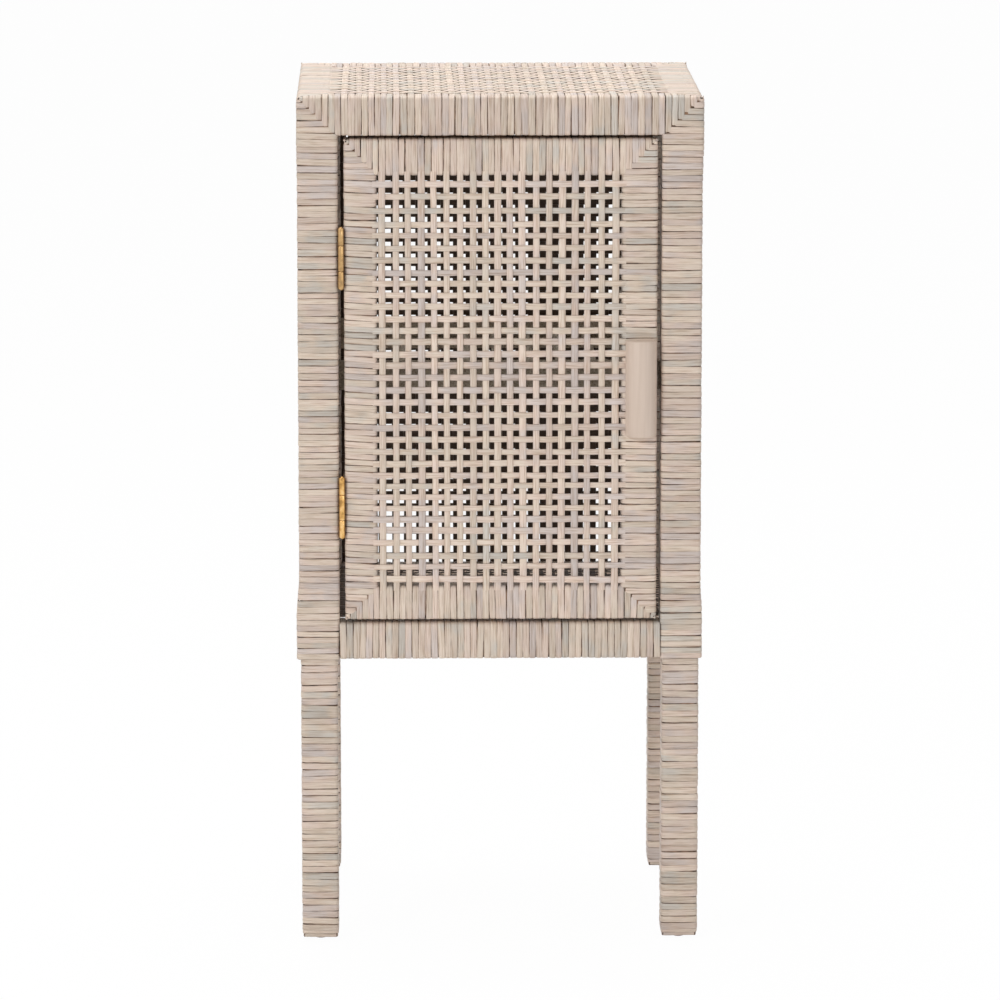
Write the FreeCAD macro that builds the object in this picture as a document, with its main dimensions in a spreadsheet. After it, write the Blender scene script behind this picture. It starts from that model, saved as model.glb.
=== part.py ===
"""Storage side table: a bound wooden frame on four legs, woven panels, one hinged door.

Frame: +Z up, the origin on the floor under the middle of the table's box, the door's
face towards -Y, millimetres. A member of the frame is a wooden bar inside a binding of
wound rattan strip. The strands of a woven panel lie on the members round its opening.
"""

import FreeCAD, Part
import math
import os
import re

import Sketcher

doc = FreeCAD.newDocument("side_table")
Vector = FreeCAD.Vector

# ---------------------------------------------------------------- driving sizes

SIZES = {
    # carcass
    "overall_width": 335,
    "carcass_depth": 289,
    "overall_height": 713.5,
    "glide_height": 4,
    "lower_rail_underside": 242,
    "post_core": 27.9,
    "rail_core_height": 26,
    "rail_core_depth": 22,
    "tenon_length": 9,
    "tenon_shoulder": 5,
    # windings of strip: outer is on the table's outer faces, inner on the other two
    "post_outer_wrap": 2.8,
    "post_inner_wrap": 3.3,
    "outer_wrap": 4.5,
    "inner_wrap": 2.5,
    "leg_wrap": 1.6,
    "wrap_bevel": 2.5,
    "strand_end": 4,
    # woven strands
    "strand_width": 5,
    "strand_thickness": 1.2,
    "panel_rib_pitch": 11.35,
    "panel_crossing_pitch": 10.4,
    "door_upright_pitch": 10.86,
    "door_crossing_pitch": 10,
    "weaver_thickness": 0.9,
    "weaver_slack": 0.03,
    # shelf
    "shelf_underside": 466,
    "shelf_rail_height": 24,
    "shelf_housing": 4,
    "shelf_front_thickness": 6.2,
    "rod_radius": 4.2,
    "rod_pitch": 26.5,
    "rod_groove": 4,
    "rod_drop": 6,
    # door
    "hinge_gap": 4.5,
    "latch_gap": 3,
    "door_top_gap": 2.3,
    "door_bottom_gap": 2.5,
    "door_thickness": 22,
    "door_stile_width": 32,
    "door_rail_height": 30.8,
    "door_wrap": 1.6,
    "door_back_clearance": 1.3,
    # hinges
    "hinge_length": 50.8,
    "upper_hinge_height": 579.5,
    "lower_hinge_height": 371,
    "end_knuckle": 14.5,
    "knuckle_gap": 0.3,
    "knuckle_radius": 2.7,
    "pin_radius": 1.3,
    "pin_clearance": 0.05,
    "axis_ahead": 1,
    "leaf_thickness": 1.2,
    "leaf_width": 15,
    "leaf_setback": 3.5,
    "screw_spacing": 32,
    "screw_head_radius": 2.7,
    "screw_head_height": 1.2,
    "screw_radius": 1.6,
    "screw_length": 14,
    # pull, catch and glides
    "pull_radius": 13,
    "pull_length": 81,
    "pull_height": 470.5,
    "pull_screw_spacing": 50,
    "pull_screw_bite": 9,
    "pull_inset": 13.5,
    "catch_inset": 15.5,
    "magnet_length": 20,
    "magnet_width": 8,
    "magnet_depth": 5,
    "plate_length": 24,
    "plate_width": 11,
    "plate_thickness": 0.8,
    "spur_length": 6,
    "spur_width": 1.6,
    "spur_height": 3.2,
    "glide_radius": 7.2,
    "glide_bevel": 2.2,
    "glide_nail_radius": 1.4,
    "glide_nail_length": 14,
}

# Small round bars are drawn with flats, which keeps a model with so many strands light.
SIDES_OF_SCREW = 6
SIDES_OF_ROD = 8
SIDES_OF_KNUCKLE = 10

sheet = doc.addObject("Spreadsheet::Sheet", "Sizes")
for row, (alias, value) in enumerate(SIZES.items(), 1):
    sheet.set(f"A{row}", alias)
    sheet.set(f"B{row}", str(value))
    sheet.setAlias(f"B{row}", alias)
doc.recompute()


def size(alias):
    """A size as the sheet holds it."""
    return float(sheet.get(alias))


def bind(thing, path, text):
    """Ties a property to a formula in the sheet's sizes."""
    cells = re.sub(r"[a-z_]+", lambda word: f"Sizes.{word[0]}" if word[0] in SIZES else word[0], text)
    thing.setExpression(path, cells)


# ---------------------------------------------------------------- planes that pieces share

# The pull stands ahead of the carcass, so the carcass sits back by half of that.
WEAVER_STEP = "(strand_thickness - weaver_thickness)"
FRONT = f"(-(carcass_depth - pull_radius + {WEAVER_STEP}) / 2)"
BACK = f"({FRONT} + carcass_depth)"
LEFT = "(-overall_width / 2)"
RIGHT = "(overall_width / 2)"
POST = "(post_outer_wrap + post_core + post_inner_wrap)"
POST_CORE = ("post_outer_wrap", "post_outer_wrap + post_core")
RAIL = "(outer_wrap + rail_core_depth + inner_wrap)"
RAIL_CORE = ("outer_wrap", "outer_wrap + rail_core_depth")
TOP_RAIL_UNDERSIDE = "(overall_height - outer_wrap - rail_core_height - inner_wrap)"
LOWER_RAIL_TOP = "(lower_rail_underside + rail_core_height + 2 * inner_wrap)"


def from_left(near, far):
    """Two planes measured in from the left face."""
    return f"{LEFT} + {near}", f"{LEFT} + {far}"


def from_right(near, far):
    """Two planes measured in from the right face."""
    return f"{RIGHT} - ({far})", f"{RIGHT} - ({near})"


def from_front(near, far):
    """Two planes measured in from the front face."""
    return f"{FRONT} + {near}", f"{FRONT} + {far}"


def from_back(near, far):
    """Two planes measured in from the back face."""
    return f"{BACK} - ({far})", f"{BACK} - ({near})"


SIDES = {"left": from_left, "right": from_right}
ENDS = {"front": from_front, "back": from_back}
BETWEEN_POSTS_X = (f"{LEFT} + {POST}", f"{RIGHT} - {POST}")
BETWEEN_POSTS_Y = (f"{FRONT} + {POST}", f"{BACK} - {POST}")
BETWEEN_CORES_X = (f"{LEFT} + {POST_CORE[1]}", f"{RIGHT} - ({POST_CORE[1]})")
BETWEEN_CORES_Y = (f"{FRONT} + {POST_CORE[1]}", f"{BACK} - ({POST_CORE[1]})")
BETWEEN_RAILS_Z = (LOWER_RAIL_TOP, TOP_RAIL_UNDERSIDE)

# Lengths under this count as nought.
NOUGHT = 0.001
AXES = {"x": Vector(1, 0, 0), "y": Vector(0, 1, 0), "z": Vector(0, 0, 1)}
nodes = []


def keep(piece, name):
    """Makes a shape one of the table's own pieces."""
    piece.Label = name
    nodes.append(piece)
    return piece


# ---------------------------------------------------------------- bars, windings, booleans


def block(name, x, y, z):
    """A box from its lowest to its highest plane along each axis."""
    piece = doc.addObject("Part::Box", name)
    for length, axis, (low, high) in (("Length", "x", x), ("Width", "y", y), ("Height", "z", z)):
        bind(piece, length, f"({high}) - ({low})")
        bind(piece, f"Placement.Base.{axis}", low)
    return piece


def upright_bar(name, radius, centre, low, high, sides=None):
    """A bar along Z, round or with that many sides."""
    piece = doc.addObject("Part::Prism" if sides else "Part::Cylinder", name)
    if sides:
        piece.Polygon = sides
    bind(piece, "Circumradius" if sides else "Radius", radius)
    bind(piece, "Height", f"({high}) - ({low})")
    for axis, place in zip("xyz", (*centre, low)):
        bind(piece, f"Placement.Base.{axis}", place)
    return piece


def fused(name, pieces):
    """Pieces made into one."""
    piece = doc.addObject("Part::MultiFuse", name)
    piece.Shapes = pieces
    return piece


def cut(name, base, tools):
    """The base less every tool."""
    group = doc.addObject("Part::Compound", f"{name}_tools")
    group.Links = tools
    piece = doc.addObject("Part::Cut", name)
    piece.Base = base
    piece.Tool = group
    return piece


def eased(name, base, wanted):
    """The base with the edges that wanted() picks bevelled, as a strip turns them."""
    doc.recompute()
    bevel = size("wrap_bevel")
    piece = doc.addObject("Part::Chamfer", name)
    piece.Base = base
    edges = enumerate(base.Shape.Edges, 1)
    piece.Edges = [(number, bevel, bevel) for number, edge in edges if wanted(edge)]
    return piece


def runs_along(edge, axis):
    """Whether a straight edge lies along the axis."""
    start, end = edge.firstVertex().Point, edge.lastVertex().Point
    return (end - start).cross(axis).Length < NOUGHT


def widened(planes, margin):
    """Two planes moved apart, each by the margin."""
    return f"{planes[0]} - ({margin})", f"{planes[1]} + ({margin})"


def tenoned(name, axis, x, y, z):
    """A rail of wood along the axis; its tenons are as high as the rail, and thinner."""
    bar = block(f"{name}_bar", x, y, z)
    tongue_x, tongue_y = (
        widened(planes, "tenon_length" if axis == way else "-tenon_shoulder")
        for way, planes in (("x", x), ("y", y))
    )
    tongue = block(f"{name}_tongue", tongue_x, tongue_y, z)
    return keep(fused(name, [bar, tongue]), name)


def wound_rail(name, axis, x, y, z, rail, wanted=lambda edge: True):
    """The winding of strip round a rail, its wanted long edges eased."""
    sleeve = block(f"{name}_block", x, y, z)
    sleeve = eased(f"{name}_sleeve", sleeve, lambda edge: runs_along(edge, AXES[axis]) and wanted(edge))
    return keep(cut(name, sleeve, [rail]), name)


def on_outside(edge):
    """Whether an edge lies nearer to the table's outer faces than its member's middle."""
    middle = edge.CenterOfMass
    inset = size("outer_wrap") + size("rail_core_depth") / 2
    across = size("overall_width") / 2 - inset
    along = (size("carcass_depth") - size("pull_radius")) / 2 - inset
    return abs(middle.x) > across or abs(middle.y) > along


# ---------------------------------------------------------------- carcass rails

RAIL_HEIGHTS = {
    "top": ("overall_height - outer_wrap - rail_core_height", "overall_height - outer_wrap"),
    "lower": ("lower_rail_underside + inner_wrap", "lower_rail_underside + inner_wrap + rail_core_height"),
}
wood = {}
for level, heights in RAIL_HEIGHTS.items():
    for end, inward in ENDS.items():
        name = f"{level}_{end}_rail"
        wood[name] = tenoned(name, "x", BETWEEN_CORES_X, inward(*RAIL_CORE), heights)
    for side, inward in SIDES.items():
        name = f"{level}_{side}_rail"
        wood[name] = tenoned(name, "y", inward(*RAIL_CORE), BETWEEN_CORES_Y, heights)

# A rail's winding stops short of the envelope by the strands that lie on it: ribs and
# then the strands that cross under them on the horizontal panels, crossing strands and
# then uprights on the vertical ones. The front face carries none.
TOP_OF_WINDING = {
    ("top", "ends"): "overall_height - strand_thickness",
    ("top", "sides"): "overall_height - 2 * strand_thickness",
    ("lower", "ends"): LOWER_RAIL_TOP,
    ("lower", "sides"): f"{LOWER_RAIL_TOP} - strand_thickness",
}
UNDER_WINDING = {"top": TOP_RAIL_UNDERSIDE, "lower": "lower_rail_underside"}
for level in RAIL_HEIGHTS:
    for end, inward in ENDS.items():
        name = f"{level}_{end}_rail"
        face = "0" if end == "front" else "2 * strand_thickness"
        across = inward(face, RAIL)
        heights = (UNDER_WINDING[level], TOP_OF_WINDING[level, "ends"])
        wound_rail(f"{name}_binding", "x", BETWEEN_POSTS_X, across, heights, wood[name], on_outside)
    for side, inward in SIDES.items():
        name = f"{level}_{side}_rail"
        heights = (UNDER_WINDING[level], TOP_OF_WINDING[level, "sides"])
        across = inward("2 * strand_thickness", RAIL)
        wound_rail(f"{name}_binding", "y", across, BETWEEN_POSTS_Y, heights, wood[name], on_outside)

# ---------------------------------------------------------------- shelf

SHELF_HEIGHTS = ("shelf_underside", "shelf_underside + shelf_rail_height")
DOOR_BACK = f"({FRONT} + strand_thickness + door_thickness)"
SHELF_FACE = f"({DOOR_BACK} + door_back_clearance)"
SHELF_FRONT = (SHELF_FACE, f"{SHELF_FACE} + shelf_front_thickness")
SHELF_BACK = from_back(*RAIL_CORE)


def new_body(name):
    """A body that may hold several separate solids."""
    body = doc.addObject("PartDesign::Body", name)
    body.AllowCompound = True
    return body


def new_sketch(body, role, raised="0"):
    """A sketch on one of the body's own planes, or raised off it."""
    sketch = body.newObject("Sketcher::SketchObject", f"{body.Name}_sketch")
    plane = next(feature for feature in body.Origin.OriginFeatures if feature.Role == role)
    sketch.AttachmentSupport = [(plane, "")]
    sketch.MapMode = "FlatFace"
    bind(sketch, "AttachmentOffset.Base.z", raised)
    return sketch


def padded(body, sketch, length):
    """The sketch raised to a length."""
    pad = body.newObject("PartDesign::Pad", f"{body.Name}_pad")
    pad.Profile = sketch
    bind(pad, "Length", length)
    body.Tip = pad
    doc.recompute()
    return pad


def repeated(body, features, direction, length, count):
    """A row of the features; the body's whole shape is repeated where none is given."""
    row = body.newObject("PartDesign::LinearPattern", f"{body.Name}_row")
    if features:
        row.Originals = features
    else:
        row.TransformMode = "Whole shape"
    row.Direction = direction
    bind(row, "Length", length)
    bind(row, "Occurrences", count)
    body.Tip = row
    doc.recompute()
    return row


def placed(body, rotation, x, y, z):
    """The body turned, then carried to a place in the sizes."""
    body.Placement = FreeCAD.Placement(Vector(0, 0, 0), rotation)
    for axis, place in zip("xyz", (x, y, z)):
        bind(body, f"Placement.Base.{axis}", place)


def polygon(sketch, sides, corner_radius):
    """A regular polygon round the sketch's origin, one flat lying along its H axis."""
    radius = size(corner_radius)
    sketch.addGeometry(Part.Circle(Vector(0, 0, 0), Vector(0, 0, 1), radius), True)
    sketch.addConstraint(Sketcher.Constraint("Coincident", 0, 3, -1, 1))
    across = sketch.addConstraint(Sketcher.Constraint("Radius", 0, radius))
    sketch.renameConstraint(across, "corner")
    bind(sketch, "Constraints.corner", corner_radius)
    turns = [math.pi * (2 * number + 1) / sides - math.pi / 2 for number in range(sides)]
    corners = [Vector(radius * math.cos(turn), radius * math.sin(turn), 0) for turn in turns]
    for start, end in zip(corners, corners[1:] + corners[:1]):
        sketch.addGeometry(Part.LineSegment(start, end))
    for side in range(1, sides + 1):
        sketch.addConstraint(Sketcher.Constraint("Coincident", side, 2, side % sides + 1, 1))
        sketch.addConstraint(Sketcher.Constraint("PointOnObject", side, 1, 0))
        if side > 1:
            sketch.addConstraint(Sketcher.Constraint("Equal", 1, side))
    sketch.addConstraint(Sketcher.Constraint("Horizontal", sides))


ROD_RUN = (f"{SHELF_FRONT[1]} - rod_groove", f"{SHELF_BACK[0]} + rod_groove")
ROD_COUNT = f"(floor((({BETWEEN_POSTS_X[1]}) - ({BETWEEN_POSTS_X[0]})) / rod_pitch) - 1)"
ROD_HEIGHT = "(shelf_underside + shelf_rail_height - rod_drop - rod_radius)"
rods = new_body("shelf_rods")
rod_sketch = new_sketch(rods, "XZ_Plane")
polygon(rod_sketch, SIDES_OF_ROD, "rod_radius")
rod_pad = padded(rods, rod_sketch, f"({ROD_RUN[1]}) - ({ROD_RUN[0]})")
repeated(rods, [rod_pad], (rod_sketch, ["H_Axis"]), f"({ROD_COUNT} - 1) * rod_pitch", ROD_COUNT)
placed(rods, FreeCAD.Rotation(), f"-({ROD_COUNT} - 1) * rod_pitch / 2", ROD_RUN[1], ROD_HEIGHT)
keep(rods, "shelf_rods")

# The rods' ends lie in a groove along each rail. A bar magnet, let into the front rail,
# faces the lock stile of the door.
HOUSED_X = widened(BETWEEN_CORES_X, "shelf_housing")
GROOVE_Z = (f"{ROD_HEIGHT} - rod_radius", f"{ROD_HEIGHT} + rod_radius")
CATCH_X = f"({RIGHT} - {POST} - catch_inset)"
CATCH_Z = "(shelf_underside + shelf_rail_height / 2)"


def about(middle, extent):
    """Two planes at equal distances either side of a middle."""
    return f"{middle} - {extent} / 2", f"{middle} + {extent} / 2"


magnet_y = (SHELF_FRONT[0], f"{SHELF_FRONT[0]} + magnet_depth")
magnet = block("magnetic_catch", about(CATCH_X, "magnet_width"), magnet_y, about(CATCH_Z, "magnet_length"))
keep(magnet, "magnetic_catch")
front_groove = block("shelf_front_groove", HOUSED_X, (ROD_RUN[0], SHELF_FRONT[1]), GROOVE_Z)
front_bar = block("shelf_front_bar", HOUSED_X, SHELF_FRONT, SHELF_HEIGHTS)
front_rail = cut("shelf_front_rail", front_bar, [front_groove, magnet])
wood["shelf_front_rail"] = keep(front_rail, "shelf_front_rail")
back_groove = block("shelf_back_groove", HOUSED_X, (SHELF_BACK[0], ROD_RUN[1]), GROOVE_Z)
back_bar = block("shelf_back_bar", HOUSED_X, SHELF_BACK, SHELF_HEIGHTS)
back_rail = cut("shelf_back_rail", back_bar, [back_groove])
wood["shelf_back_rail"] = keep(back_rail, "shelf_back_rail")

# ---------------------------------------------------------------- posts and their windings

for end, inward_y in ENDS.items():
    for side, inward_x in SIDES.items():
        name = f"{end}_{side}_post"
        height = ("glide_height", "overall_height - outer_wrap")
        bar = block(f"{name}_bar", inward_x(*POST_CORE), inward_y(*POST_CORE), height)
        joined = [wood[f"{level}_{way}_rail"] for level in RAIL_HEIGHTS for way in (end, side)]
        joined.append(wood[f"shelf_{end}_rail"])
        post = keep(cut(name, bar, joined), name)

        # Crossing strands of the side and back panels lie on the winding beside the cabinet.
        across = inward_x("strand_thickness", POST)
        along = inward_y("0" if end == "front" else "strand_thickness", POST)
        height = ("lower_rail_underside", "overall_height")
        cabinet_part = block(f"{name}_cabinet_block", across, along, height)
        leg = (f"{POST_CORE[0]} - leg_wrap", f"{POST_CORE[1]} + leg_wrap")
        height = ("glide_height", "lower_rail_underside")
        leg_part = block(f"{name}_leg_block", inward_x(*leg), inward_y(*leg), height)
        crown = size("overall_height")
        turns = [
            eased(f"{name}_cabinet_winding", cabinet_part,
                  lambda edge: runs_along(edge, AXES["z"]) or edge.CenterOfMass.z > crown - NOUGHT),
            eased(f"{name}_leg_winding", leg_part, lambda edge: runs_along(edge, AXES["z"])),
        ]
        binding = fused(f"{name}_winding", turns)
        keep(cut(f"{name}_binding", binding, [bar, *joined]), f"{name}_binding")

# ---------------------------------------------------------------- straight strands


def flat_section(sketch):
    """A strip's own section: a flat rectangle, its middle on the sketch's origin."""
    half_width, half_thickness = size("strand_width") / 2, size("strand_thickness") / 2
    corners = [(-1, -1), (1, -1), (1, 1), (-1, 1)]
    points = [Vector(x * half_width, y * half_thickness, 0) for x, y in corners]
    for number in range(4):
        sketch.addGeometry(Part.LineSegment(points[number], points[(number + 1) % 4]))
    for number in range(4):
        sketch.addConstraint(Sketcher.Constraint("Coincident", number, 2, (number + 1) % 4, 1))
    for number, way in enumerate(("Horizontal", "Vertical") * 2):
        sketch.addConstraint(Sketcher.Constraint(way, number))
    sketch.addConstraint(Sketcher.Constraint("Symmetric", 0, 1, 2, 1, -1, 1))
    wide = sketch.addConstraint(Sketcher.Constraint("DistanceX", 0, 1, 0, 2, 2 * half_width))
    thick = sketch.addConstraint(Sketcher.Constraint("DistanceY", 1, 1, 1, 2, 2 * half_thickness))
    sketch.renameConstraint(wide, "wide")
    sketch.renameConstraint(thick, "thick")
    bind(sketch, "Constraints.wide", "strand_width")
    bind(sketch, "Constraints.thick", "strand_thickness")


def lens_section(sketch):
    """A stouter upright's section: thickest in the middle and thin at both edges."""
    half_width, half_thickness = size("strand_width") / 2, size("strand_thickness") / 2
    outline = [(-1, 0), (-0.5, -1), (0.5, -1), (1, 0), (0.5, 1), (-0.5, 1)]
    points = [Vector(x * half_width, y * half_thickness, 0) for x, y in outline]
    for start, end in zip(points, points[1:] + points[:1]):
        sketch.addGeometry(Part.LineSegment(start, end))


def strands(name, section, spread, pitch, level, run):
    """A row of straight strands: spread evenly along one axis, run along another.

    spread and run are (axis, low, high); level is (axis, formula of the mid-thickness).
    """
    body = new_body(name)
    sketch = new_sketch(body, "XY_Plane")
    section(sketch)
    doc.recompute()
    row, low, high = spread
    span = f"(({high}) - ({low}))"
    count = f"round({span} / {pitch})"
    pad = padded(body, sketch, f"({run[2]}) - ({run[1]})")
    repeated(body, [pad], (sketch, ["H_Axis"]), f"{span} * (1 - 1 / {count})", count)
    turn = FreeCAD.Rotation(AXES[row], AXES[run[0]].cross(AXES[row]), AXES[run[0]], "XYZ")
    place = {row: f"{low} + {span} / {count} / 2", level[0]: level[1], run[0]: run[1]}
    placed(body, turn, place["x"], place["y"], place["z"])
    return keep(body, name)


OUTER_LAYER = "strand_thickness / 2"
INNER_LAYER = "strand_thickness * 3 / 2"
RUN_X = ("x", f"{LEFT} + strand_end", f"{RIGHT} - strand_end")
RUN_Y = ("y", f"{FRONT} + strand_end", f"{BACK} - strand_end")
RUN_Z = ("z", "lower_rail_underside + strand_end", "overall_height - strand_end")
SPREAD_X = ("x", *BETWEEN_POSTS_X)
SPREAD_TO_POSTS = ("x", *widened(BETWEEN_POSTS_X, "(panel_rib_pitch - strand_width) / 2"))
SPREAD_Y = ("y", *BETWEEN_POSTS_Y)
SPREAD_Z = ("z", *BETWEEN_RAILS_Z)

# The outermost uprights of the back lie against the posts.
back_level = ("y", f"{BACK} - {INNER_LAYER}")
strands("back_weave_uprights", flat_section, SPREAD_TO_POSTS, "panel_rib_pitch", back_level, RUN_Z)
back_level = ("y", f"{BACK} - {OUTER_LAYER}")
strands("back_weave_crossings", flat_section, SPREAD_Z, "panel_crossing_pitch", back_level, RUN_X)
for side, face, inwards in (("left", LEFT, "+"), ("right", RIGHT, "-")):
    level = ("x", f"{face} {inwards} {INNER_LAYER}")
    strands(f"{side}_weave_uprights", flat_section, SPREAD_Y, "panel_rib_pitch", level, RUN_Z)
    level = ("x", f"{face} {inwards} {OUTER_LAYER}")
    strands(f"{side}_weave_crossings", flat_section, SPREAD_Z, "panel_crossing_pitch", level, RUN_Y)
for panel, top in (("top", "overall_height"), ("floor", f"{LOWER_RAIL_TOP} + strand_thickness")):
    level = ("z", f"{top} - {OUTER_LAYER}")
    strands(f"{panel}_weave_ribs", flat_section, SPREAD_X, "panel_rib_pitch", level, RUN_Y)
    level = ("z", f"{top} - {INNER_LAYER}")
    strands(f"{panel}_weave_crossings", flat_section, SPREAD_Y, "panel_crossing_pitch", level, RUN_X)

# ---------------------------------------------------------------- door frame

DOOR_LEFT = f"({BETWEEN_POSTS_X[0]} + hinge_gap)"
DOOR_RIGHT = f"({BETWEEN_POSTS_X[1]} - latch_gap)"
DOOR_BOTTOM = f"({LOWER_RAIL_TOP} + door_bottom_gap)"
DOOR_TOP = f"({TOP_RAIL_UNDERSIDE} - door_top_gap)"
DOOR_Y = (f"{FRONT} + strand_thickness", DOOR_BACK)
DOOR_CORE_Y = widened(DOOR_Y, "-door_wrap")
STILES = {
    "left": (DOOR_LEFT, f"{DOOR_LEFT} + door_stile_width"),
    "right": (f"{DOOR_RIGHT} - door_stile_width", DOOR_RIGHT),
}
DOOR_RAILS = {
    "top": (f"{DOOR_TOP} - door_rail_height", DOOR_TOP),
    "bottom": (DOOR_BOTTOM, f"{DOOR_BOTTOM} + door_rail_height"),
}
DOOR_OPENING_X = (STILES["left"][1], STILES["right"][0])
DOOR_OPENING_Z = (DOOR_RAILS["bottom"][1], DOOR_RAILS["top"][0])


def inside(planes):
    """Where the wood starts and ends, inside its winding."""
    return widened(planes, "-door_wrap")


door_rails = {}
for level, heights in DOOR_RAILS.items():
    name = f"door_{level}_rail"
    between_cores = widened(DOOR_OPENING_X, "door_wrap")
    door_rails[level] = tenoned(name, "x", between_cores, DOOR_CORE_Y, inside(heights))
    wound_rail(f"{name}_binding", "x", DOOR_OPENING_X, DOOR_Y, heights, door_rails[level])

for side, planes in STILES.items():
    name = f"door_{side}_stile"
    bar = block(f"{name}_bar", inside(planes), DOOR_CORE_Y, inside((DOOR_BOTTOM, DOOR_TOP)))
    keep(cut(name, bar, list(door_rails.values())), name)
    outside = block(f"{name}_block", planes, DOOR_Y, (DOOR_BOTTOM, DOOR_TOP))
    doc.recompute()
    middle = outside.Shape.CenterOfMass.x
    outer_edge = 1 if side == "right" else -1
    binding = eased(
        f"{name}_winding", outside,
        lambda edge: runs_along(edge, AXES["z"])
        or (runs_along(edge, AXES["y"]) and (edge.CenterOfMass.x - middle) * outer_edge > 0),
    )
    keep(cut(f"{name}_binding", binding, [bar, *door_rails.values()]), f"{name}_binding")

# ---------------------------------------------------------------- door weave

# Stiff uprights lie on the two door rails. Each crossing strand lies on the stiles and
# goes over and under the uprights in turn, and the next row goes the other way.
DOOR_RUN_Z = ("z", f"{DOOR_BOTTOM} + strand_end", f"{DOOR_TOP} - strand_end")
door_level = ("y", f"{FRONT} + {OUTER_LAYER}")
door_spread = ("x", *DOOR_OPENING_X)
strands("door_weave_uprights", lens_section, door_spread, "door_upright_pitch", door_level, DOOR_RUN_Z)

# A strand that slants is a little thicker across than square to its face.
SLANT = 1.04
opening = size("overall_width") - size("hinge_gap") - size("latch_gap") - 2 * size("door_stile_width")
opening -= 2 * (size("post_outer_wrap") + size("post_core") + size("post_inner_wrap"))
uprights = round(opening / size("door_upright_pitch"))
pitch = opening / uprights
lie = size("door_stile_width") - size("strand_end")
half_weaver = size("weaver_thickness") / 2
flat_of_upright = size("strand_width") / 4
rise = size("strand_thickness") / 2 + half_weaver * SLANT + size("weaver_slack")
rise /= 1 - 2 * flat_of_upright / pitch
rest = size("strand_thickness") / 2 - half_weaver


def weaver_outline(first_way):
    """A crossing strand seen from above: its middle line bends at every upright."""
    middle = [(-lie, rest), (0, rest)]
    middle += [((number + 0.5) * pitch, first_way * rise * (-1) ** number) for number in range(uprights)]
    middle += [(opening, rest), (opening + lie, rest)]
    front = [Vector(x, y - half_weaver, 0) for x, y in middle]
    back = [Vector(x, y + half_weaver, 0) for x, y in middle]
    return front + back[::-1]


weavers = new_body("door_weave_crossings")
WEAVER_SPAN = f"(({DOOR_OPENING_Z[1]}) - ({DOOR_OPENING_Z[0]}))"
WEAVER_COUNT = f"round({WEAVER_SPAN} / door_crossing_pitch)"
WEAVER_PITCH = f"({WEAVER_SPAN} / {WEAVER_COUNT})"
for first_way, skipped in ((-1, 0), (1, 1)):
    sketch = new_sketch(weavers, "XY_Plane", f"{skipped} * {WEAVER_PITCH}")
    outline = weaver_outline(first_way)
    for start, end in zip(outline, outline[1:] + outline[:1]):
        sketch.addGeometry(Part.LineSegment(start, end))
    pad = padded(weavers, sketch, "strand_width")
    rows = f"floor(({WEAVER_COUNT} + {1 - skipped}) / 2)"
    repeated(weavers, [pad], (sketch, ["N_Axis"]), f"({rows} - 1) * 2 * {WEAVER_PITCH}", rows)
first_weaver = f"{DOOR_OPENING_Z[0]} + {WEAVER_PITCH} / 2 - strand_width / 2"
placed(weavers, FreeCAD.Rotation(), DOOR_OPENING_X[0], f"{FRONT} + strand_thickness / 2", first_weaver)
keep(weavers, "door_weave_crossings")

# ---------------------------------------------------------------- hinges

HINGE_X = f"({BETWEEN_POSTS_X[0]} + hinge_gap / 2)"
HINGE_Y = f"({FRONT} - axis_ahead)"
LEAF_START = f"({HINGE_Y} + leaf_setback)"
FRAME_LEAF_X = (BETWEEN_POSTS_X[0], f"{BETWEEN_POSTS_X[0]} + leaf_thickness")
DOOR_LEAF_X = (f"{DOOR_LEFT} - leaf_thickness", DOOR_LEFT)
SCREW_Y = f"({LEAF_START} + leaf_width / 2)"


def screw_pads(body, head_radius, length):
    """The head and shank of a screw that stands on its point, its head's top at nought."""
    pads = []
    head = (head_radius, "screw_head_height", "screw_head_height")
    shank = ("screw_radius", length, f"{length} - screw_head_height")
    for radius, depth, tall in (head, shank):
        sketch = new_sketch(body, "XY_Plane", f"-({depth})")
        polygon(sketch, SIDES_OF_SCREW, radius)
        doc.recompute()
        pads.append(padded(body, sketch, tall))
    return sketch, pads


def hinge_screws(name, quarter_turn, face):
    """The four screws of one side: a pair in each hinge's leaf."""
    body = new_body(name)
    sketch, pads = screw_pads(body, "screw_head_radius", "screw_length")
    repeated(body, pads, (sketch, ["H_Axis"]), "screw_spacing", "2")
    repeated(body, None, (sketch, ["H_Axis"]), "upper_hinge_height - lower_hinge_height", "2")
    placed(body, quarter_turn, face, SCREW_Y, "lower_hinge_height - screw_spacing / 2")
    return keep(body, name)


# A screw's head looks along +X on the post and along -X on the door.
INTO_POST = FreeCAD.Rotation(AXES["z"], -AXES["y"], AXES["x"], "XYZ")
INTO_DOOR = FreeCAD.Rotation(AXES["z"], AXES["y"], -AXES["x"], "XYZ")
frame_screws = hinge_screws("hinge_frame_screws", INTO_POST, FRAME_LEAF_X[1])
door_screws = hinge_screws("hinge_door_screws", INTO_DOOR, DOOR_LEAF_X[0])


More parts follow.
